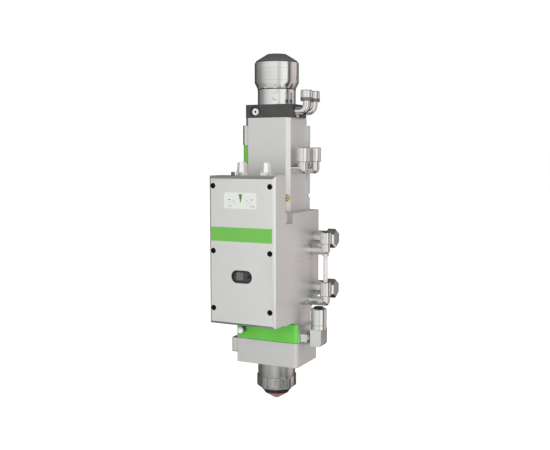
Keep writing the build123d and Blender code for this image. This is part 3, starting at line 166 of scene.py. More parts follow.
def shader_of(material):
    """The shader whose sockets hold a finish's values."""
    return material.node_tree.nodes["Principled BSDF"]


def grain(material, scale, detail, stretch=(1.0, 1.0, 1.0)):
    """Noise fixed to the piece, as a socket from 0 to 1."""
    nodes, links = material.node_tree.nodes, material.node_tree.links
    place = nodes.new("ShaderNodeTexCoord")
    mapping = nodes.new("ShaderNodeMapping")
    mapping.inputs["Scale"].default_value = stretch
    noise = nodes.new("ShaderNodeTexNoise")
    noise.inputs["Scale"].default_value = scale
    noise.inputs["Detail"].default_value = detail
    links.new(place.outputs["Object"], mapping.inputs["Vector"])
    links.new(mapping.outputs["Vector"], noise.inputs["Vector"])
    return noise.outputs["Fac"]


def tint(material, source, first, second):
    """Runs the base colour between two colours."""
    nodes, links = material.node_tree.nodes, material.node_tree.links
    ramp = nodes.new("ShaderNodeValToRGB")
    for stop, place, colour in zip(ramp.color_ramp.elements, (0.35, 0.65), (first, second)):
        stop.position = place
        stop.color = (*colour, 1.0)
    links.new(source, ramp.inputs["Fac"])
    links.new(ramp.outputs["Color"], shader_of(material).inputs["Base Color"])


def vary_gloss(material, source, low, high):
    """Runs the roughness between two limits."""
    nodes, links = material.node_tree.nodes, material.node_tree.links
    span = nodes.new("ShaderNodeMapRange")
    for socket, value in (("From Min", 0.3), ("From Max", 0.7), ("To Min", low), ("To Max", high)):
        span.inputs[socket].default_value = value
    links.new(source, span.inputs["Value"])
    links.new(span.outputs["Result"], shader_of(material).inputs["Roughness"])


def relief(material, height, strength, depth):
    """Bumps the surface by a height socket, with a depth in mm."""
    nodes, links = material.node_tree.nodes, material.node_tree.links
    bump = nodes.new("ShaderNodeBump")
    bump.inputs["Strength"].default_value = strength
    bump.inputs["Distance"].default_value = depth * MM
    links.new(height, bump.inputs["Height"])
    links.new(bump.outputs["Normal"], shader_of(material).inputs["Normal"])


def new_finish(colour, roughness, metallic=0.0, tone=None, gloss=None, skin=None, others=()):
    """A material with its values and up to three layers of grain.

    Each layer starts with its noise's scale and detail. Tone goes on with two shades or colours,
    gloss with two limits of the roughness, and skin with the bump's strength and depth in mm.
    """
    material = bpy.data.materials.new("finish")
    material.use_nodes = True
    values = (("Base Color", (*colour, 1.0)), ("Roughness", roughness), ("Metallic", metallic))
    for socket, value in values + others:
        shader_of(material).inputs[socket].default_value = value
    if tone:
        scale, detail, *ends = tone
        first, second = (end if isinstance(end, tuple) else shade(colour, end) for end in ends)
        tint(material, grain(material, scale, detail), first, second)
    if gloss:
        scale, detail, low, high = gloss
        vary_gloss(material, grain(material, scale, detail), low, high)
    if skin:
        scale, detail, strength, depth = skin
        relief(material, grain(material, scale, detail), strength, depth)
    return material


def turned_metal(colour, roughness, stretch, lines, metallic=1.0, tone=None):
    """Bright metal with fine tool lines round its axis."""
    material = new_finish(colour, roughness, metallic, tone)
    cut = grain(material, lines, 2.0, stretch)
    vary_gloss(material, cut, roughness * 0.8, roughness * 1.35)
    relief(material, cut, 0.3, 0.02)
    return material


def mark_fill(colour):
    """Paint in a small engraved mark."""
    return new_finish(colour, roughness=0.5, tone=(1500.0, 2.0, 0.8, 1.15))


def casting_paint():
    return new_finish(
        colours().casting, roughness=0.42, metallic=0.65, tone=(14.0, 4.0, 0.975, 1.02),
        gloss=(420.0, 2.0, 0.38, 0.47), skin=(2400.0, 3.0, 0.35, 0.04),
    )


def cover_paint():
    return new_finish(
        colours().cover, roughness=0.38, metallic=0.85, tone=(9.0, 3.0, 0.985, 1.012),
        gloss=(600.0, 2.0, 0.31, 0.39), skin=(3400.0, 2.0, 0.25, 0.03),
    )


def green_paint():
    return new_finish(
        colours().green, roughness=0.36, metallic=0.3, tone=(22.0, 3.0, 0.97, 1.025),
        gloss=(700.0, 2.0, 0.32, 0.42), skin=(3000.0, 2.0, 0.25, 0.03),
    )


# A brighter copy of the green paint, painted light that makes up for the shade under the drive cover.
def drawer_green():
    return new_finish(
        srgb(104, 200, 74), roughness=0.4, metallic=0.1,
        tone=(40.0, 3.0, srgb(100, 194, 71), srgb(108, 205, 78)),
        gloss=(700.0, 2.0, 0.34, 0.46), skin=(3000.0, 2.0, 0.25, 0.03),
    )


def black_anodising():
    return new_finish(
        colours().black, roughness=0.46, tone=(60.0, 4.0, 0.9, 1.1),
        gloss=(900.0, 2.0, 0.4, 0.52), skin=(5200.0, 2.0, 0.4, 0.03),
        others=(("Specular IOR Level", 0.3),),
    )


def black_oxide():
    return new_finish(
        colours().screw, roughness=0.5, gloss=(1500.0, 2.0, 0.42, 0.58),
        skin=(6000.0, 2.0, 0.3, 0.02), others=(("Specular IOR Level", 0.12),),
    )


def chrome_upright():
    return turned_metal(colours().chrome, roughness=0.13, stretch=(0.01, 0.01, 1.0), lines=1800.0)


def chrome_across():
    return turned_metal(colours().chrome, roughness=0.1, stretch=(1.0, 0.01, 0.01), lines=1500.0)


def chrome_fitting():
    return new_finish(
        colours().chrome, roughness=0.06, metallic=1.0,
        gloss=(260.0, 3.0, 0.045, 0.09), skin=(900.0, 2.0, 0.12, 0.03),
    )


def turned_steel():
    return turned_metal(colours().steel, roughness=0.2, stretch=(0.01, 0.01, 1.0), lines=1500.0)


def turned_steel_front():
    return turned_metal(colours().steel, roughness=0.16, stretch=(0.01, 1.0, 0.01), lines=1500.0)


def machined_aluminium():
    return turned_metal(colours().aluminium, roughness=0.3, stretch=(0.02, 0.02, 1.0), lines=1100.0)


def bright_zinc():
    return new_finish(
        srgb(246, 246, 244), roughness=0.14, metallic=0.65,
        gloss=(900.0, 2.0, 0.1, 0.18), skin=(2400.0, 2.0, 0.15, 0.02),
    )


def grey_steel():
    return new_finish(
        srgb(124, 124, 123), roughness=0.34, metallic=0.8,
        gloss=(1200.0, 2.0, 0.28, 0.42), skin=(3600.0, 2.0, 0.25, 0.02),
    )


def turned_brass():
    return turned_metal(
        colours().brass, roughness=0.22, stretch=(0.02, 1.0, 0.02), lines=1300.0, metallic=0.75
    )


# Pale brass whose colour paints the highlight on the lock screw's face.
def brass_highlight_paint():
    return turned_metal(
        srgb(255, 250, 214), roughness=0.16, stretch=(0.02, 1.0, 0.02), lines=1700.0, metallic=0.25
    )


def turned_copper():
    tone = (90.0, 4.0, 0.85, 1.0)
    return turned_metal(
        colours().copper, roughness=0.24, stretch=(0.02, 0.02, 1.0), lines=1400.0, tone=tone
    )


def fired_ceramic():
    return new_finish(
        srgb(26, 22, 23), roughness=0.22,
        gloss=(800.0, 2.0, 0.16, 0.3), skin=(1600.0, 3.0, 0.2, 0.03),
    )


def coated_glass():
    return new_finish(
        srgb(236, 244, 248), roughness=0.03, gloss=(300.0, 2.0, 0.01, 0.04),
        others=(("Transmission Weight", 1.0), ("IOR", 1.45)),
    )


def window_glass():
    return new_finish(
        srgb(40, 43, 42), roughness=0.05, gloss=(500.0, 2.0, 0.03, 0.07),
        others=(("Alpha", 0.12), ("IOR", 1.46)),
    )


def dark_plastic():
    return new_finish(
        srgb(62, 63, 64), roughness=0.4, tone=(120.0, 3.0, srgb(55, 56, 57), srgb(70, 71, 72)),
        gloss=(800.0, 2.0, 0.33, 0.46), skin=(2600.0, 2.0, 0.3, 0.03),
    )


def black_plastic():
    return new_finish(
        srgb(22, 23, 24), roughness=0.36,
        gloss=(900.0, 2.0, 0.3, 0.44), skin=(2600.0, 2.0, 0.25, 0.03),
    )


def white_plastic():
    return new_finish(
        srgb(252, 252, 250), roughness=0.22, gloss=(500.0, 2.0, 0.18, 0.28),
        skin=(1500.0, 2.0, 0.1, 0.03), others=(("Subsurface Weight", 0.1),),
    )


def tube_plastic():
    return new_finish(
        colours().tube, roughness=0.25, tone=(90.0, 2.0, 0.97, 1.02),
        skin=(700.0, 2.0, 0.12, 0.05), others=(("Subsurface Weight", 0.25),),
    )


def seal_rubber():
    return new_finish(
        srgb(24, 25, 25), roughness=0.62,
        gloss=(700.0, 3.0, 0.52, 0.7), skin=(3200.0, 3.0, 0.4, 0.04),
    )


def scale_film():
    return new_finish(
        srgb(106, 109, 108), roughness=0.5,
        tone=(500.0, 2.0, srgb(101, 104, 103), srgb(112, 115, 114)), skin=(2600.0, 2.0, 0.2, 0.02),
    )


def scale_print():
    tone = (900.0, 2.0, srgb(138, 142, 140), srgb(154, 158, 156))
    return new_finish(srgb(146, 150, 148), roughness=0.55, tone=tone)


def label_film():
    return new_finish(
        colours().label, roughness=0.3,
        tone=(60.0, 2.0, 0.98, 1.02), skin=(1900.0, 2.0, 0.15, 0.02),
    )


def label_print():
    tone = (1200.0, 2.0, srgb(80, 98, 70), srgb(102, 120, 92))
    return new_finish(srgb(90, 108, 80), roughness=0.5, tone=tone)


def pointer_print():
    tone = (1200.0, 2.0, srgb(66, 108, 44), srgb(88, 138, 60))
    return new_finish(srgb(76, 122, 52), roughness=0.42, tone=tone)


def dark_mark():
    return mark_fill(srgb(52, 50, 50))


def green_mark():
    return mark_fill(srgb(98, 122, 78))


def red_mark():
    return mark_fill(srgb(108, 56, 46))


def olive_mark():
    return mark_fill(srgb(128, 112, 62))


# The grey of the groove rings paints the shade in grooves.
def groove_shadow():
    return mark_fill(srgb(118, 117, 115))


def finish(maker):
    """The material of one finish, made when a piece first needs it and named after its maker."""
    made = bpy.data.materials.get(maker.__name__)
    if made is None:
        made = maker()
        made.name = maker.__name__
    return made


# Places on the solids


def box_mm(node):
    """Low corner, high corner and middle of a node's box, in mm."""
    low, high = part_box(node)
    middle = [(low[axis] + high[axis]) / 2 / MM for axis in range(3)]
    return [value / MM for value in low], [value / MM for value in high], middle


def solid_boxes(node):
    """Low corner, high corner and middle, in mm, of each solid of a node."""
    bm = bmesh.new()
    bm.from_mesh(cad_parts[node].data)
    bmesh.ops.remove_doubles(bm, verts=bm.verts, dist=SOLID_WELD)
    left = set(bm.verts)
    boxes = []
    while left:
        group = [left.pop()]
        for vert in group:
            for edge in vert.link_edges:
                other = edge.other_vert(vert)
                if other in left:
                    left.remove(other)
                    group.append(other)
        low = [min(vert.co[axis] for vert in group) / MM for axis in range(3)]
        high = [max(vert.co[axis] for vert in group) / MM for axis in range(3)]
        boxes.append((low, high, [(near + far) / 2 for near, far in zip(low, high)]))
    bm.free()
    return sorted(boxes)


# Shapes, with sizes in mm where nothing else is said


def new_object(name, bm, material):
    """An object in the scene from a mesh under construction."""
    mesh = bpy.data.meshes.new(name)
    bm.to_mesh(mesh)
    bm.free()
    mesh.materials.append(material)
    made = bpy.data.objects.new(name, mesh)
    bpy.context.scene.collection.objects.link(made)
    return made


def add_piece(name, bm, maker, body="housing", replaced=()):
    """Turns a mesh under construction into a piece that rides on a body."""
    piece = new_object(name, bm, finish(maker))
    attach(piece, body)
    if replaced:
        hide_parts(*replaced)
    return piece


def smooth(piece, angle=CREASE_ANGLE):
    """Smooth faces, with creases kept where they are sharper than an angle."""
    for polygon in piece.data.polygons:
        polygon.use_smooth = True
    piece.data.set_sharp_from_angle(angle=math.radians(angle))
    return piece


def round_edges(piece, width):
    """Rounds the piece's sharp edges, by a width in metres, and smooths the rest."""
    smooth(piece, ROUNDED_ANGLE)
    bevel = piece.modifiers.new("edge", "BEVEL")
    bevel.width = width
    bevel.segments = 2
    bevel.limit_method = "ANGLE"
    bevel.angle_limit = math.radians(ROUNDED_ANGLE)
    bevel.use_clamp_overlap = True
    bevel.harden_normals = True
    return piece


def dress(node, maker, width, body="housing"):
    """A copy of a solid with its finish and with edges rounded by a width in metres."""
    bm = bmesh.new()
    bm.from_mesh(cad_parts[node].data)
    bmesh.ops.remove_doubles(bm, verts=bm.verts, dist=SOLID_WELD)
    flat = math.radians(0.6)
    bmesh.ops.dissolve_limit(
        bm, angle_limit=flat, verts=bm.verts, edges=bm.edges, use_dissolve_boundaries=False
    )
    return round_edges(add_piece(f"{node}_form", bm, maker, body, (node,)), width)


def colour_node(node, maker):
    """Gives a solid that stays as it is its finish."""
    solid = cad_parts[node]
    for slot in solid.material_slots:
        slot.material = finish(maker)
    if not solid.material_slots:
        raise RuntimeError(f"{node} has no material slot")


def bridge(bm, first, second, closed=True):
    """Faces between two rows of points, all the way round where the rows are closed."""
    count = len(first)
    for index in range(count if closed else count - 1):
        after = (index + 1) % count
        bm.faces.new((first[index], first[after], second[after], second[index]))


def circle(bm, radius, height, segments):
    """Points on a circle round the Z axis, with sizes in metres."""
    turns = [math.tau * step / segments for step in range(segments)]
    return [bm.verts.new((radius * math.cos(a), radius * math.sin(a), height)) for a in turns]


def front_outline(bm, points, y):
    """Points of an outline that looks to the front, from (x, z) at a depth y."""
    return [bm.verts.new((x * MM, y * MM, z * MM)) for x, z in points]


def front_prism(front, back, *outlines):
    """Prisms whose faces look to the front, from outlines of (x, z) points."""
    bm = bmesh.new()
    for points in outlines:
        near, far = front_outline(bm, points, front), front_outline(bm, points, back)
        bm.faces.new(near)
        bm.faces.new(list(reversed(far)))
        bridge(bm, far, near)
    bmesh.ops.recalc_face_normals(bm, faces=bm.faces)
    return bm


def front_ring(inner, outer, front, back):
    """A flat ring between two outlines with as many points, facing the front."""
    bm = bmesh.new()
    sides = ((inner, front), (outer, front), (outer, back), (inner, back))
    loops = [front_outline(bm, points, y) for points, y in sides]
    for first, second in zip(loops, loops[1:] + loops[:1]):
        bridge(bm, first, second)
    bmesh.ops.recalc_face_normals(bm, faces=bm.faces)
    return bm


def bar(x, z, width, height):
    """Corners (x, z) of a plain bar round its middle."""
    corners = ((-1, -1), (1, -1), (1, 1), (-1, 1))
    return [(x + side * width / 2, z + rise * height / 2) for side, rise in corners]


def rounded_slot(x, z, width, height, radius, steps=10):
    """Points (x, z) round a slot with round corners."""
    points = []
    for corner, (side, rise) in enumerate(((1, 1), (-1, 1), (-1, -1), (1, -1))):
        centre_x = x + side * (width / 2 - radius)
        centre_z = z + rise * (height / 2 - radius)
        for step in range(steps + 1):
            turn = math.pi / 2 * (corner + step / steps)
            points.append((centre_x + radius * math.cos(turn), centre_z + radius * math.sin(turn)))
    return points


def stand_on(bm, centre, axis):
    """Moves a turned mesh to its centre, with its Z axis along an axis."""
    turn = Vector(axis).to_track_quat("Z", "Y").to_matrix().to_4x4()
    place = Matrix.Translation(Vector(centre) * MM) @ turn
    bmesh.ops.transform(bm, matrix=place, verts=bm.verts)
    return bm


def turned(profile, centre, axis, segments=64, closed=False):
    """A mesh turned round an axis from (radius, height) points."""
    bm = bmesh.new()
    rings = [circle(bm, radius * MM, height * MM, segments) for radius, height in profile]
    following = rings[1:] + rings[:1] if closed else rings[1:]
    for low, high in zip(rings, following):
        bridge(bm, low, high)
    bmesh.ops.remove_doubles(bm, verts=bm.verts, dist=WELD)
    if not closed:
        bmesh.ops.holes_fill(bm, edges=[edge for edge in bm.edges if edge.is_boundary])
    bmesh.ops.recalc_face_normals(bm, faces=bm.faces)
    return stand_on(bm, centre, axis)


def thread(root, crest, pitch, length, centre, axis):
    """The helical face of a thread, from its centre along an axis."""
    steps = 24
    form = ((0.0, root), (0.2, root), (0.4, crest), (0.6, crest), (0.8, root), (1.0, root))
    bm = bmesh.new()
    rows = []
    for step in range(int(length / pitch) * steps + 1):
        turn = math.tau * step / steps
        row = []
        for share, radius in form:
            height = min(pitch * step / steps + share * pitch, length)
            reach = radius * MM
            row.append(bm.verts.new((reach * math.cos(turn), reach * math.sin(turn), height * MM)))
        rows.append(row)
    for low, high in zip(rows, rows[1:]):
        for first in range(len(low) - 1):
            bm.faces.new((low[first], high[first], high[first + 1], low[first + 1]))
    bmesh.ops.remove_doubles(bm, verts=bm.verts, dist=WELD)
    bmesh.ops.dissolve_degenerate(bm, dist=WELD, edges=bm.edges)
    if crest < root:
        bmesh.ops.reverse_faces(bm, faces=bm.faces)
    return stand_on(bm, centre, axis)


def flat_ring(name, maker, centre, axis, inner, outer, height, segments=48):
    """A flat ring on the housing, from its centre along its axis."""
    ring = [(inner, 0.0), (outer, 0.0), (outer, height), (inner, height)]
    bm = turned(ring, centre, axis, segments, closed=True)
    return smooth(add_piece(name, bm, maker))


def socket_shade_fill(node, radius):
    """A dark disc at the floor of a screw's hex socket, which paints the shade inside the socket."""
    low, _, (x, _, z) = solid_boxes(node)[0]
    depth, thickness, sides = 0.3, 0.2, 6
    floor = [(radius, 0.0), (radius, thickness), (TIP, thickness)]
    bm = turned(floor, (x, low[1] + depth, z), FRONT, sides)
    add_piece(f"{node}_socket", bm, black_oxide)


def plain_number(name, text, x, y, z, height):
    """A plain number printed on the index plate, centred at its place."""
    curve = bpy.data.curves.new(name, "FONT")
    curve.body = text
    curve.size = height * MM
    curve.align_x = "CENTER"
    curve.align_y = "CENTER"
    curve.extrude = bpy.context.scene.cutting_head_details.print_depth / 2
    writing = bpy.data.objects.new(f"{name}_outline", curve)
    bpy.context.scene.collection.objects.link(writing)
    bpy.context.view_layer.update()
    graph = bpy.context.evaluated_depsgraph_get()
    shape = bpy.data.meshes.new_from_object(writing.evaluated_get(graph))
    bpy.data.objects.remove(writing)
    bm = bmesh.new()
    bm.from_mesh(shape)
    bpy.data.meshes.remove(shape)
    stand = Matrix.Translation((x * MM, y * MM, z * MM)) @ Matrix.Rotation(math.pi / 2, 4, "X")
    bmesh.ops.transform(bm, matrix=stand, verts=bm.verts)
    return add_piece(name, bm, label_print)


# Pieces


class CUTTING_HEAD_OT_castings(bpy.types.Operator):
    """Dress the painted housings, the side cover and its inlay"""

    bl_idname = "cutting_head.castings"
    bl_label = "Castings"

    def execute(self, context):
        details = context.scene.cutting_head_details
        edge = details.casting_edge
        for node in ("main_housing", "drive_box", "collimator_housing", "neck_plate"):
            dress(node, casting_paint, edge)
        dress("nozzle_housing", casting_paint, edge)
        dress("left_side_cover", casting_paint, 2.6 * edge)
        dress("back_plate", casting_paint, edge)
        dress("green_inlay", green_paint, 2 * edge)
        self.mounting_threads(details.bolt_pitch / MM)
        self.cover_seal()
        return {"FINISHED"}

    def mounting_threads(self, pitch):
        """Threads in the four mounting holes of the back face."""
        half_width, half_height = 25, 30
        root, crest, start, depth = 2.52, 2.25, -0.6, 11.0
        places = [(x, z) for z in (-half_height, half_height) for x in (-half_width, half_width)]
        for number, (x, z) in enumerate(places, 1):
            bm = thread(root, crest, pitch, depth, (x, start, z), FRONT)
            smooth(add_piece(f"mounting_thread_{number}", bm, turned_steel_front), 50.0)

    def cover_seal(self):
        """Dark seal along the side cover's outer front edge."""
        low, high, _ = box_mm("left_side_cover")
        inlay_top = box_mm("green_inlay")[1][2]
        inset, width, end_gap, corner = 0.9, 1.5, 0.2, 0.5
        z, height = (inlay_top + high[2]) / 2, high[2] - inlay_top - 2 * end_gap
        outline = rounded_slot(low[0] + inset, z, width, height, corner, 4)
        bm = front_prism(low[1] - 0.04, low[1] + 0.3, outline)
        add_piece("side_cover_seal", bm, seal_rubber)


class CUTTING_HEAD_OT_front_cover(bpy.types.Operator):
    """Dress the drive cover with its stripe, screws, window seal and pane"""

    bl_idname = "cutting_head.front_cover"
    bl_label = "Front cover"

    def execute(self, context):
        details = context.scene.cutting_head_details
        dress("front_cover", cover_paint, details.casting_edge)
        dress("green_stripe", green_paint, details.print_depth)
        dress("cover_screws", black_oxide, details.fitting_edge)
        self.screw_shadow_rims()
        colour_node("window_pane", window_glass)
        self.window_rings(details.seal_width / MM)
        return {"FINISHED"}

    def screw_shadow_rims(self):
        """Black rims round the screw heads, which paint the shadow of their counterbores."""
        for number, (low, high, (x, _, z)) in enumerate(solid_boxes("cover_screws"), 1):
            reach = (high[0] - low[0]) / 2
            flat_ring(
                f"screw_shadow_rim_{number}", black_oxide, (x, low[1] + 0.02, z), FRONT,
                inner=reach - 0.1, outer=reach + 0.35, height=0.06,
            )

    def window_rings(self, seal):
        """The painted bezel round the window, and the black seal inside it."""
        low, high, (x, _, z) = box_mm("window_pane")
        width, height = high[0] - low[0], high[2] - low[2]
        less = 2 * seal + 0.7
        inner = rounded_slot(x, z, width - less, height - less, height / 2 - seal - 0.8)
        middle = rounded_slot(x, z, width - 0.9, height - 1.1, height / 2 - 0.9)
        outer = rounded_slot(x, z, width + 0.5, height + 0.5, height / 2 - 0.35)
        face = box_mm("front_cover")[0][1]
        bezel = front_ring(middle, outer, face - 0.12, low[1])
        round_edges(add_piece("window_bezel", bezel, cover_paint), 0.12 * MM)
        ring = front_ring(inner, middle, face - 0.05, low[1])
        round_edges(add_piece("window_seal", ring, seal_rubber), 0.2 * MM)


class CUTTING_HEAD_OT_index_plate(bpy.types.Operator):
    """Print the pointer, marks and end numbers on the index plate"""

    bl_idname = "cutting_head.index_plate"
    bl_label = "Index plate"

    def execute(self, context):
        details = context.scene.cutting_head_details
        dress("index_plate", label_film, details.fitting_edge)
        face = box_mm("index_plate")[0][1]
        depth = details.print_depth / MM
        front, back = face - depth / 4, face + 3 * depth / 4
        top, tip = 84.0, 75.5
        pointer = front_prism(front, back, ((-2.3, top), (1.7, top), (0.1, tip), (-0.7, tip)))
        add_piece("index_pointer", pointer, pointer_print)
        dashes = [bar(-13.2, 78.2, 3.2, 0.8), bar(12.5, 78.4, 3.2, 0.8)]
        stops = [bar(x, 77.2, 0.6, 2.0) for x in (-8.3, 7.4)]
        ticks = [
            bar(first + 2.4 * step, 75.1, 0.3, 0.9) for first in (-12.3, 4.3) for step in range(4)
        ]
        marks = front_prism(front, back, *dashes, *stops, *ticks)
        add_piece("index_marks", marks, label_print)
        y, z, height = (front + back) / 2, 71.4, 3.4
        plain_number("index_low", "-10", -13.2, y, z, height)
        plain_number("index_high", "+10", 13.0, y, z, height)
        return {"FINISHED"}


class CUTTING_HEAD_OT_focus_scale(bpy.types.Operator):
    """Print the focus scale and set the sight lens on the carriage"""

    bl_idname = "cutting_head.focus_scale"
    bl_label = "Focus scale"

    def execute(self, context):
        depth = context.scene.cutting_head_details.print_depth
        dress("scale_strip", scale_film, depth, "carriage")
        low, high, _ = box_mm("scale_strip")
        left, right = low[0] + 0.7, high[0] - 0.5
        bottom, top = low[2] + 0.6, high[2] - 0.6
        columns, row_height, side_gap, upper_gap = 3, 2.6, 0.6, 0.7
        rows = max(1, round((top - bottom) / row_height))
        step_x, step_z = (right - left) / columns, (top - bottom) / rows
        width, height = step_x - side_gap, step_z - upper_gap
        first_x, first_z = left + width / 2, bottom + height / 2
        marks = [
            bar(first_x + column * step_x, first_z + row * step_z, width, height)
            for column in range(columns)
            for row in range(rows)
        ]
        bm = front_prism(low[1] - depth / MM, low[1], *marks)
        add_piece("scale_marks", bm, scale_print, "carriage")
        self.shade_sheet_and_ticks(left)
        self.sight_lens()
        return {"FINISHED"}

    def shade_sheet_and_ticks(self, left):
        """Dark sheet behind the strip and the sight lens, which paints the shade inside the window,
        with ticks that show at the limits.
        """
        face = box_mm("lens_carriage")[0][1]
        x, _, z = box_mm("window_pane")[2]
        width, height, corner = 27.0, 33.0, 2.0
        outline = rounded_slot(x, z, width, height, corner, 6)
        bm = front_prism(face - 0.04, face + 0.02, outline)
        add_piece("window_shade_sheet", bm, dark_plastic, "carriage")
        start, step, thickness = 8.0, 1.8, 0.5
        ticks = []
        for side in (-1, 1):
            for row in range(5):
                length, level = (8.0, 4.5)[row % 2], z + side * (start + step * row)
                ticks.append(bar(left + length / 2, level, length, thickness))
        bm = front_prism(face - 0.08, face - 0.02, *ticks)
        add_piece("scale_ticks", bm, scale_print, "carriage")

    def sight_lens(self):
        """The sight lens and its rim."""
        low, high, (x, _, z) = box_mm("sight_disc")
        radius = (high[0] - low[0]) / 2
        seat, bore = (x, high[1], z), radius - 0.8
        rim = [(radius, 0.0), (radius, 0.5), (radius - 0.5, 0.62), (bore, 0.5), (bore, 0.0)]
        bm = turned(rim, seat, FRONT, closed=True)
        replaced = ("sight_disc",)
        smooth(add_piece("sight_rim", bm, dark_plastic, "carriage", replaced))
        bm = turned([(bore, 0.0), (bore, 0.3), (radius * 0.5, 0.46), (TIP, 0.52)], seat, FRONT)
        smooth(add_piece("sight_lens", bm, black_plastic, "carriage"), 60.0)


class CUTTING_HEAD_OT_fibre_receiver(bpy.types.Operator):
    """Dress the clamp block, receiver, lock collar and dust plug"""

    bl_idname = "cutting_head.fibre_receiver"
    bl_label = "Fibre receiver"

    def execute(self, context):
        details = context.scene.cutting_head_details
        edge = details.fitting_edge
        dress("clamp_block", black_anodising, details.casting_edge)
        dress("clamp_screw", bright_zinc, edge)
        socket_shade_fill("clamp_screw", 1.5)
        dress("receiver_barrel", chrome_upright, edge)
        dress("lock_collar", chrome_upright, edge, "collar")
        dress("dust_plug", dark_plastic, edge, "plug")
        self.collar_marks()
        self.collar_grooves()
        self.lug_screws()
        self.tower_black_strip()
        low, _, (x, y, _) = box_mm("lock_collar")
        # A black ring just under the collar paints the shadow line at its step to the receiver.
        flat_ring(
            "collar_shadow_ring", black_oxide, (x, y, low[2] - 0.9), UP,
            inner=20.9, outer=21.4, height=0.8, segments=96,
        )
        return {"FINISHED"}

    def collar_marks(self):
        """Small filled marks round the collar's skirt."""
        low, high, (_, middle_y, _) = box_mm("lock_collar")
        radius = (high[0] - low[0]) / 2
        for name, maker, azimuth, z, width, height in (
            ("collar_mark_dark", dark_mark, -126.0, 216.0, 1.3, 1.4),
            ("collar_mark_green", green_mark, -122.0, 208.0, 1.2, 1.6),
            ("collar_mark_red", red_mark, 4.0, 213.5, 1.0, 3.0),
            ("collar_mark_olive", olive_mark, -2.0, 207.6, 1.6, 3.4),
        ):
            bm = bmesh.new()
            spread = width / radius / 2
            turns = [math.radians(azimuth) + side * spread for side in (-1.0, -0.5, 0.0, 0.5, 1.0)]
            rows = []
            for reach in (radius - 0.1, radius + 0.02):
                for level in (z - height / 2, z + height / 2):
                    points = [(reach * math.cos(a), middle_y + reach * math.sin(a)) for a in turns]
                    rows.append([bm.verts.new((x * MM, y * MM, level * MM)) for x, y in points])
            for first, second in ((2, 3), (0, 2), (3, 1)):
                bridge(bm, rows[first], rows[second], closed=False)
            bmesh.ops.recalc_face_normals(bm, faces=bm.faces)
            add_piece(name, bm, maker, "collar")

    def collar_grooves(self):
        """Shallow rings round the collar and the receiver, whose grey paints the shade of grooves."""
        for node, body, heights in (
            ("lock_collar", "collar", (8.6, 21.5, 26.4)),
            ("receiver_barrel", "housing", (54.2,)),
        ):
            low, high, (x, y, _) = box_mm(node)
            radius = (high[0] - low[0]) / 2
            inside, outside = radius - 0.2, radius + 0.02
            ring = [(inside, 0.0), (outside, 0.05), (outside, 0.2), (inside, 0.25)]
            for number, height in enumerate(heights, 1):
                bm = turned(ring, (x, y, low[2] + height), UP, 96, closed=True)
                smooth(add_piece(f"{node}_groove_{number}", bm, groove_shadow, body))

    def lug_screws(self):
        """The set screw in the clamp's lug, and a dark cap on the lug's side that paints the shade of
        a hole there.
        """
        low, _, (_, middle_y, _) = solid_boxes("cap_screws")[-1]
        face, z = box_mm("clamp_block")[1][0], low[2] + 1.2
        for name, centre, axis, reach, maker in (
            ("lug_screw", (face - 2.2, middle_y - 10.0, z), FRONT, 1.25, bright_zinc),
            ("lug_hole_shade", (face, middle_y - 6.0, z), RIGHT, 1.05, black_oxide),
        ):
            head = [(reach, 0.0), (reach, 0.4), (reach - 0.25, 0.6), (TIP, 0.6)]
            smooth(add_piece(name, turned(head, centre, axis, 32), maker))

    def tower_black_strip(self):
        """A black strip on the collimator housing's left side, above the side cover."""
        low, high, _ = box_mm("collimator_housing")
        cover_top = box_mm("left_side_cover")[1][2]
        z, height = (cover_top + high[2]) / 2, high[2] - cover_top
        width, corner, setback, depth = 1.8, 0.4, 0.4, 34.0
        outline = rounded_slot(low[0] - width / 2, z, width, height, corner, 4)
        bm = front_prism(low[1] + setback, low[1] + depth, outline)
        round_edges(add_piece("tower_black_strip", bm, black_anodising), 0.2 * MM)


class CUTTING_HEAD_OT_hose_ports(bpy.types.Operator):
    """Dress the bent tubes, elbows, nuts and couplings on the right side"""

    bl_idname = "cutting_head.hose_ports"
    bl_label = "Hose ports"

    def execute(self, context):
        edge = context.scene.cutting_head_details.fitting_edge
        for node in (
            "top_tubes", "top_nuts", "side_elbow_front", "side_elbow_rear", "side_nuts",
            "station_elbow_upper", "station_elbow_lower", "station_nuts",
        ):
            dress(node, chrome_fitting, edge)
        for node in ("side_coupling_upper", "side_coupling_lower"):
            dress(node, chrome_across, edge)
        dress("link_tube", tube_plastic, edge)
        self.nut_bands_and_gap_shades()
        return {"FINISHED"}

    def nut_bands_and_gap_shades(self):
        """Grey bands on the top nuts, and dark rings under the side and station nuts that paint the
        shadow in the gap beneath them.
        """
        for node, drop, height, spread, maker in (
            ("top_nuts", 0.0, 3.5, 0.06, grey_steel),
            # The black rings of the side and station nuts paint the shadow under each nut.
            ("side_nuts", -0.35, 0.6, -0.25, black_oxide),
            ("station_nuts", -0.35, 0.6, -0.25, black_oxide),
        ):
            for number, (low, high, (x, y, _)) in enumerate(solid_boxes(node), 1):
                reach = (high[0] - low[0]) / 2 + spread
                flat_ring(
                    f"{node}_band_{number}", maker, (x, y, low[2] + drop), UP,
                    inner=reach - 1.2, outer=reach, height=height, segments=64,
                )


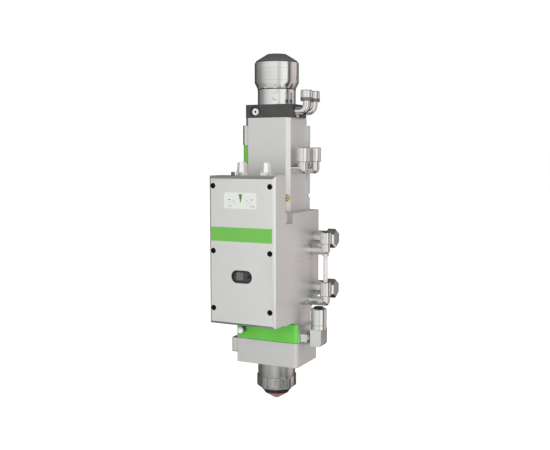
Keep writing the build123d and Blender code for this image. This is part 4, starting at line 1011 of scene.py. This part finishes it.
class CUTTING_HEAD_OT_gas_inlet(bpy.types.Operator):
    """Dress the gas adapter, elbow, push-in socket and release ring"""

    bl_idname = "cutting_head.gas_inlet"
    bl_label = "Gas inlet"

    def execute(self, context):
        edge = context.scene.cutting_head_details.fitting_edge
        dress("gas_adapter", chrome_across, edge)
        dress("gas_elbow", chrome_fitting, 2 * edge)
        self.adapter_ribs()
        dress("gas_socket", chrome_upright, edge)
        dress("gas_release_ring", black_plastic, edge, "gas_ring")
        return {"FINISHED"}

    def adapter_ribs(self):
        """Dark and grey ribs in turn, round the gas adapter's neck."""
        _, y, z = solid_boxes("gas_adapter")[0][2]
        start, width = 44.0, 1.2
        for number in range(5):
            reach, maker = ((6.2, black_oxide), (6.7, grey_steel))[number % 2]
            centre = (start + width * number, y, z)
            flat_ring(
                f"gas_adapter_rib_{number + 1}", maker, centre, RIGHT,
                inner=4.0, outer=reach, height=width,
            )


class CUTTING_HEAD_OT_cable_glands(bpy.types.Operator):
    """Dress the cable glands, the cap screws and the brass lock screw"""

    bl_idname = "cutting_head.cable_glands"
    bl_label = "Cable glands"

    def execute(self, context):
        edge = context.scene.cutting_head_details.fitting_edge
        dress("gland_bodies", bright_zinc, edge)
        dress("gland_nuts", bright_zinc, edge)
        dress("cap_screws", grey_steel, edge)
        dress("brass_screw", turned_brass, edge)
        socket_shade_fill("brass_screw", 0.9)
        low, _, (x, _, z) = solid_boxes("brass_screw")[0]
        flat_ring(
            "brass_washer", turned_brass, (x, low[1] + 0.9, z), FRONT,
            inner=3.3, outer=3.9, height=0.5,
        )
        # A pale disc on the screw's face paints its highlight.
        flat_ring(
            "brass_face_highlight", brass_highlight_paint, (x, low[1] + 0.01, z), FRONT,
            inner=1.1, outer=2.6, height=0.06,
        )
        return {"FINISHED"}


class CUTTING_HEAD_OT_window_drawer(bpy.types.Operator):
    """Dress the protective window's drawer and its pull"""

    bl_idname = "cutting_head.window_drawer"
    bl_label = "Window drawer"

    def execute(self, context):
        details = context.scene.cutting_head_details
        dress("window_drawer", drawer_green, details.casting_edge, "drawer")
        colour_node("protective_window", coated_glass)
        colour_node("window_gasket", seal_rubber)
        dress("knob_stem", dark_plastic, details.fitting_edge, "drawer")
        dress("knob_ball", white_plastic, details.fitting_edge, "drawer")
        return {"FINISHED"}


class CUTTING_HEAD_OT_nozzle_end(bpy.types.Operator):
    """Dress the sensor barrel, lock nut, ceramic ring and nozzle"""

    bl_idname = "cutting_head.nozzle_end"
    bl_label = "Nozzle end"

    def execute(self, context):
        edge = context.scene.cutting_head_details.fitting_edge
        dress("sensor_barrel", turned_steel, edge)
        dress("nozzle_nut", turned_steel, edge)
        dress("ceramic_ring", fired_ceramic, edge)
        dress("sensor_connector", chrome_across, edge)
        self.socket_pins()
        self.connector_frame()
        self.nut_teeth(edge)
        self.nozzle()
        return {"FINISHED"}

    def socket_pins(self):
        """Ring of contact pins round the middle of the sensor's socket."""
        low, _, (_, y, z) = box_mm("sensor_connector")
        count, reach, recess, length = 6, 5.0, 2.2, 6.75
        pin = [(0.38, 0.0), (0.38, 6.2), (0.24, 6.6), (TIP, 6.7)]
        foot = low[0] + recess + length
        for number in range(count):
            angle = math.tau * number / count
            out, rise = reach * math.cos(angle), reach * math.sin(angle)
            bm = turned(pin, (foot, y + out, z + rise), LEFT, 16)
            smooth(add_piece(f"socket_pin_{number + 1}", bm, turned_brass))

    def connector_frame(self):
        """Dark seal line round the connector's front face."""
        low, high, (x, _, z) = box_mm("sensor_connector")
        width, height = high[0] - low[0], high[2] - low[2]
        outer = rounded_slot(x, z, width - 0.3, height - 0.3, 0.7, 4)
        inner = rounded_slot(x, z, width - 1.9, height - 1.9, 0.4, 4)
        bm = front_ring(inner, outer, low[1] - 0.05, low[1] + 0.1)
        add_piece("connector_frame", bm, dark_plastic)

    def nut_teeth(self, edge):
        """The lock nut's teeth, with their chamfered ends."""
        low, high, (x, y, _) = box_mm("nozzle_nut")
        radius, top, foot = (high[0] - low[0]) / 2, high[2], low[2]
        teeth, steps, inside = 16, 4, 17.1
        pitch, gap = 360 / teeth, 7.2
        outline = (
            (inside, top - 3.0), (radius - 0.4, top - 3.0), (radius, top - 3.4),
            (radius, foot + 2.8), (17.9, foot - 0.2), (inside, foot - 0.2),
        )
        bm = bmesh.new()
        for tooth in range(teeth):
            rows = []
            for step in range(steps + 1):
                angle = math.radians(pitch * tooth + gap / 2 + step * (pitch - gap) / steps)
                points = [(x + r * math.cos(angle), y + r * math.sin(angle), z) for r, z in outline]
                rows.append([bm.verts.new([value * MM for value in point]) for point in points])
            bm.faces.new(rows[0])
            bm.faces.new(rows[-1])
            for first, second in zip(rows, rows[1:]):
                bridge(bm, first, second)
        bmesh.ops.recalc_face_normals(bm, faces=bm.faces)
        round_edges(add_piece("nozzle_nut_teeth", bm, turned_steel), edge)

    def nozzle(self):
        """The nozzle's cone with its bore, and the dark ring at its shoulder."""
        x, y, _ = box_mm("nozzle_nut")[2]
        tip = box_mm("nozzle")[0][2]
        cone = [
            (1.0, 6.0), (1.0, 0.0), (2.4, 0.0), (3.2, 0.4), (13.0, 6.4), (14.1, 7.6), (14.1, 10.2),
            (13.4, 10.6), (5.6, 10.6), (5.6, 20.0), (3.0, 20.0),
        ]
        bm = turned(cone, (x, y, tip), UP, 96, closed=True)
        piece = add_piece("nozzle_form", bm, turned_copper, replaced=("nozzle",))
        smooth(piece, 40.0)
        shoulder = [(13.9, 0.0), (14.5, 0.3), (14.5, 3.2), (13.9, 3.6)]
        bm = turned(shoulder, (x, y, tip + 8.3), UP, 96, closed=True)
        smooth(add_piece("nozzle_shoulder", bm, fired_ceramic))


class CUTTING_HEAD_OT_focus_drive(bpy.types.Operator):
    """Dress the focus drive and the lenses inside the head"""

    bl_idname = "cutting_head.focus_drive"
    bl_label = "Focus drive"

    def execute(self, context):
        details = context.scene.cutting_head_details
        for node, maker, slot, body in (
            ("stepper_motor", black_anodising, "black_metal", "housing"),
            ("motor_shaft", turned_steel, "steel", "screw"),
            ("motor_coupling", machined_aluminium, "aluminium", "screw"),
            ("guide_rods", turned_steel, "steel", "housing"),
            ("lens_carriage", machined_aluminium, "aluminium", "carriage"),
            ("lead_nut", turned_brass, "brass", "carriage"),
            ("lens_ring", black_anodising, "black_metal", "carriage"),
            ("collimator_cell", machined_aluminium, "aluminium", "housing"),
        ):
            dress(node, maker, details.fitting_edge, body)
        self.lead_screw(details.screw_lead / MM)
        colour_node("focus_lens", coated_glass)
        colour_node("collimator_lens", coated_glass)
        return {"FINISHED"}

    def lead_screw(self, pitch):
        """The focus screw with its thread between two plain ends."""
        low, high, (x, y, _) = box_mm("lead_screw")
        radius, foot, length = (high[0] - low[0]) / 2, low[2], high[2] - low[2]
        root, plain, chamfer = radius - 0.6, 4.0, 0.4
        place, neck = (x, y, foot), radius - chamfer
        for name, start, stop in (("lower", 0.0, plain), ("upper", length - plain, length)):
            end = [(neck, start), (radius, start + chamfer), (radius, stop - chamfer), (neck, stop)]
            bm = turned(end, place, UP, 48)
            smooth(add_piece(f"lead_screw_{name}_end", bm, turned_steel, "screw"))
        bm = turned([(root, 0.0), (root, length)], place, UP, 48)
        replaced = ("lead_screw",)
        smooth(add_piece("lead_screw_core", bm, turned_steel, "screw", replaced))
        bm = thread(root - 0.02, radius, pitch, length - 2 * plain, (x, y, foot + plain), UP)
        smooth(add_piece("lead_screw_thread", bm, turned_steel, "screw"), 50.0)


class CUTTING_HEAD_OT_stage(bpy.types.Operator):
    """Set up the camera, lamps, floor and backdrop"""

    bl_idname = "cutting_head.stage"
    bl_label = "Stage"

    def execute(self, context):
        stage = context.scene.cutting_head_stage
        floor = cad_box[0][2] - stage.floor_gap
        self.camera(context, stage.lens)
        self.softbox("front_softbox", -82.0, 9.0, (1.0, 1.2), stage.key, (1.0, 1.0, 0.995))
        self.softbox("side_softbox", -8.0, 6.0, (0.9, 1.2), stage.fill, (1.0, 0.945, 0.935))
        self.floor(floor, stage.backdrop)
        self.world(context, stage.backdrop)
        self.cards(floor + MM)
        context.scene.view_settings.view_transform = "Standard"
        return {"FINISHED"}

    def camera(self, context, lens):
        """The camera at the photograph's place."""
        data = bpy.data.cameras.new("camera")
        data.sensor_fit = "HORIZONTAL"
        data.sensor_width = 36.0
        data.lens = lens
        data.clip_start = 0.01
        camera = bpy.data.objects.new("camera", data)
        place = Vector((0.39268, -0.83729, 0.12588))
        target = Vector((-0.00174, -0.03085, 0.04557))
        camera.location = place
        camera.rotation_euler = (target - place).to_track_quat("-Z", "Y").to_euler()
        context.scene.collection.objects.link(camera)
        context.scene.camera = camera

    def softbox(self, name, azimuth, elevation, size, power, colour):
        """A large soft lamp that faces the head."""
        middle, distance = Vector((0.0, -0.05, 0.04)), 1.5
        data = bpy.data.lights.new(name, "AREA")
        data.shape = "RECTANGLE"
        data.size, data.size_y = size
        data.energy = power
        data.color = colour
        lamp = bpy.data.objects.new(name, data)
        turn, rise = math.radians(azimuth), math.radians(elevation)
        across = math.cos(rise)
        away = Vector((math.cos(turn) * across, math.sin(turn) * across, math.sin(rise)))
        lamp.location = middle + away * distance
        lamp.rotation_euler = (-away).to_track_quat("-Z", "Y").to_euler()
        lamp.visible_glossy = False
        bpy.context.scene.collection.objects.link(lamp)

    def empty_tree(self, owner):
        """Nodes and links of a material or world, with nothing in them."""
        owner.use_nodes = True
        owner.node_tree.nodes.clear()
        return owner.node_tree.nodes, owner.node_tree.links

    def seen_directly(self, nodes, links):
        """1 for camera, mirror and glass rays, and 0 for scattered light."""
        path = nodes.new("ShaderNodeLightPath")
        seen = path.outputs["Is Camera Ray"]
        for ray in ("Is Glossy Ray", "Is Transmission Ray"):
            either = nodes.new("ShaderNodeMath")
            either.operation = "MAXIMUM"
            links.new(seen, either.inputs[0])
            links.new(path.outputs[ray], either.inputs[1])
            seen = either.outputs[0]
        return seen

    def floor(self, height, backdrop):
        """A plain pale floor under the head, which keeps its shadow."""
        glow_strength, radius = 0.82, 6.0
        material = bpy.data.materials.new("floor_paper")
        nodes, links = self.empty_tree(material)
        matt = nodes.new("ShaderNodeBsdfDiffuse")
        matt.inputs["Color"].default_value = (0.9, 0.9, 0.9, 1.0)
        glow = nodes.new("ShaderNodeEmission")
        glow.inputs["Color"].default_value = (*backdrop, 1.0)
        level = nodes.new("ShaderNodeMath")
        level.operation = "MULTIPLY"
        level.inputs[1].default_value = glow_strength
        both = nodes.new("ShaderNodeAddShader")
        output = nodes.new("ShaderNodeOutputMaterial")
        links.new(self.seen_directly(nodes, links), level.inputs[0])
        links.new(level.outputs[0], glow.inputs["Strength"])
        links.new(matt.outputs[0], both.inputs[0])
        links.new(glow.outputs[0], both.inputs[1])
        links.new(both.outputs[0], output.inputs["Surface"])
        bm = bmesh.new()
        bmesh.ops.create_circle(bm, cap_ends=True, segments=96, radius=radius)
        floor = new_object("floor", bm, material)
        floor.location = (0.0, 0.0, height)

    def world(self, context, backdrop):
        """A white backdrop that gives little light of its own."""
        room_strength, backdrop_strength = 0.26, 1.0
        world = bpy.data.worlds.new("studio")
        nodes, links = self.empty_tree(world)
        choice = nodes.new("ShaderNodeMixShader")
        output = nodes.new("ShaderNodeOutputWorld")
        links.new(self.seen_directly(nodes, links), choice.inputs[0])
        for place, colour, strength in (
            (1, (1.0, 1.0, 1.0), room_strength),
            (2, backdrop, backdrop_strength),
        ):
            light = nodes.new("ShaderNodeBackground")
            light.inputs["Color"].default_value = (*colour, 1.0)
            light.inputs["Strength"].default_value = strength
            links.new(light.outputs[0], choice.inputs[place])
        links.new(choice.outputs[0], output.inputs["Surface"])
        context.scene.world = world

    def cards(self, floor):
        """Pale and dark cards that only paint and polished metal mirror, with sizes in metres."""
        middle, near, segments = 0.08, 0.2, 64
        self.card("card_round", self.ring(floor, near), None)
        bm = bmesh.new()
        bmesh.ops.create_circle(bm, cap_ends=True, segments=segments, radius=middle)
        bmesh.ops.translate(bm, verts=bm.verts, vec=(0.0, 0.0, floor))
        self.card("card_below", bm, 0.5)
        bm = bmesh.new()
        bridge(bm, circle(bm, middle, floor, segments), circle(bm, near, floor, segments))
        self.card("card_dark_below", bm, 0.04)
        bm = bmesh.new()
        low, high = circle(bm, 0.6, 0.42, segments), circle(bm, 0.5, 0.55, segments)
        bridge(bm, low, high)
        bm.faces.new(high)
        self.card("card_dark_above", bm, 0.12)

    def ring(self, floor, near):
        """Cards on the floor and upright round the head, whose grey changes with the direction."""
        on_floor = (
            (-180, 0.16), (-160, 0.17), (-150, 0.3), (-140, 0.4), (-130, 0.46), (-104, 0.5),
            (-92, 0.66), (-80, 0.78), (-64, 0.62), (-52, 0.34), (-45, 0.27), (-36, 0.4),
            (-28, 0.5), (-20, 0.36), (-12, 0.26), (-4, 0.4), (5, 0.62), (27, 0.8), (38, 0.8),
            (46, 0.4), (60, 0.2), (100, 0.12), (180, 0.16),
        )
        upright = (
            (-180, 0.2), (-172, 0.22), (-158, 0.27), (-146, 0.36), (-134, 0.52), (-118, 0.66),
            (-100, 0.74), (-84, 0.8), (-66, 0.8), (-56, 0.62), (-48, 0.66), (-42, 0.9),
            (-30, 0.97), (-12, 0.95), (-5, 0.1), (4, 0.1), (10, 0.4), (22, 0.62), (52, 0.66),
            (60, 0.3), (84, 0.1), (160, 0.05), (180, 0.2),
        )
        middle, far = 0.42, 0.6
        bm = bmesh.new()
        shades = bm.loops.layers.float_color.new("shade")
        self.band(bm, shades, on_floor, ((near, floor, 1.0), (middle, floor, 1.0)))
        rims = ((middle, floor, 0.9), (far, floor, 1.0), (far, 0.14, 1.0), (far, 0.42, 1.3))
        self.band(bm, shades, upright, rims)
        return bm

    def band(self, bm, shades, stops, rims):
        """Adds one band of cards: stops are (azimuth, level), rims are (radius, height, gain)."""
        rows = []
        for azimuth, level in stops:
            turn = math.radians(azimuth)
            warm = 0.9 if 8 < azimuth < 70 else 1.0
            row = []
            for radius, z, gain in rims:
                light = min(1.0, level * gain)
                vert = bm.verts.new((radius * math.cos(turn), radius * math.sin(turn), z))
                row.append((vert, (light, light * warm, light * warm * 0.99, 1.0)))
            rows.append(row)
        for first, second in zip(rows, rows[1:]):
            for low in range(len(rims) - 1):
                corners = (first[low], second[low], second[low + 1], first[low + 1])
                face = bm.faces.new([vert for vert, light in corners])
                for loop, (vert, light) in zip(face.loops, corners):
                    loop[shades] = light

    def card(self, name, bm, grey):
        """One glowing card, grey or painted, that neither the camera nor scattered light sees."""
        material = bpy.data.materials.new(name)
        nodes, links = self.empty_tree(material)
        glow = nodes.new("ShaderNodeEmission")
        if grey is None:
            painted = nodes.new("ShaderNodeVertexColor")
            painted.layer_name = "shade"
            links.new(painted.outputs["Color"], glow.inputs["Color"])
        else:
            glow.inputs["Color"].default_value = (grey, grey, grey, 1.0)
        output = nodes.new("ShaderNodeOutputMaterial")
        links.new(glow.outputs[0], output.inputs["Surface"])
        card = new_object(name, bm, material)
        card.visible_camera = False
        card.visible_diffuse = False
        card.visible_transmission = False
        card.visible_shadow = False


class CUTTING_HEAD_PT_pieces(bpy.types.Panel):
    """Pieces, finishes and stage of the cutting head"""

    bl_label = "Cutting Head"
    bl_space_type = "VIEW_3D"
    bl_region_type = "UI"
    bl_category = "Cutting Head"

    def draw(self, context):
        layout = self.layout
        layout.use_property_split = True
        for heading, group in (
            ("Finishes", context.scene.cutting_head_finishes),
            ("Details", context.scene.cutting_head_details),
            ("Stage", context.scene.cutting_head_stage),
        ):
            box = layout.box()
            box.label(text=heading)
            for key in group.__annotations__:
                box.prop(group, key)
        column = layout.column()
        for operator in OPERATORS:
            column.operator(operator.bl_idname)


OPERATORS = (
    CUTTING_HEAD_OT_castings,
    CUTTING_HEAD_OT_front_cover,
    CUTTING_HEAD_OT_index_plate,
    CUTTING_HEAD_OT_focus_scale,
    CUTTING_HEAD_OT_fibre_receiver,
    CUTTING_HEAD_OT_hose_ports,
    CUTTING_HEAD_OT_gas_inlet,
    CUTTING_HEAD_OT_cable_glands,
    CUTTING_HEAD_OT_window_drawer,
    CUTTING_HEAD_OT_nozzle_end,
    CUTTING_HEAD_OT_focus_drive,
    CUTTING_HEAD_OT_stage,
)
GROUPS = (CuttingHeadFinishes, CuttingHeadDetails, CuttingHeadStage)


def register():
    for cls in GROUPS + OPERATORS + (CUTTING_HEAD_PT_pieces,):
        bpy.utils.register_class(cls)
    bpy.types.Scene.cutting_head_finishes = bpy.props.PointerProperty(type=CuttingHeadFinishes)
    bpy.types.Scene.cutting_head_details = bpy.props.PointerProperty(type=CuttingHeadDetails)
    bpy.types.Scene.cutting_head_stage = bpy.props.PointerProperty(type=CuttingHeadStage)


def unregister():
    del bpy.types.Scene.cutting_head_stage
    del bpy.types.Scene.cutting_head_details
    del bpy.types.Scene.cutting_head_finishes
    for cls in reversed(GROUPS + OPERATORS + (CUTTING_HEAD_PT_pieces,)):
        bpy.utils.unregister_class(cls)


def main():
    register()
    bpy.ops.cutting_head.castings()
    bpy.ops.cutting_head.front_cover()
    bpy.ops.cutting_head.index_plate()
    bpy.ops.cutting_head.focus_scale()
    bpy.ops.cutting_head.fibre_receiver()
    bpy.ops.cutting_head.hose_ports()
    bpy.ops.cutting_head.gas_inlet()
    bpy.ops.cutting_head.cable_glands()
    bpy.ops.cutting_head.window_drawer()
    bpy.ops.cutting_head.nozzle_end()
    bpy.ops.cutting_head.focus_drive()
    bpy.ops.cutting_head.stage()


if __name__ == "__main__":
    main()
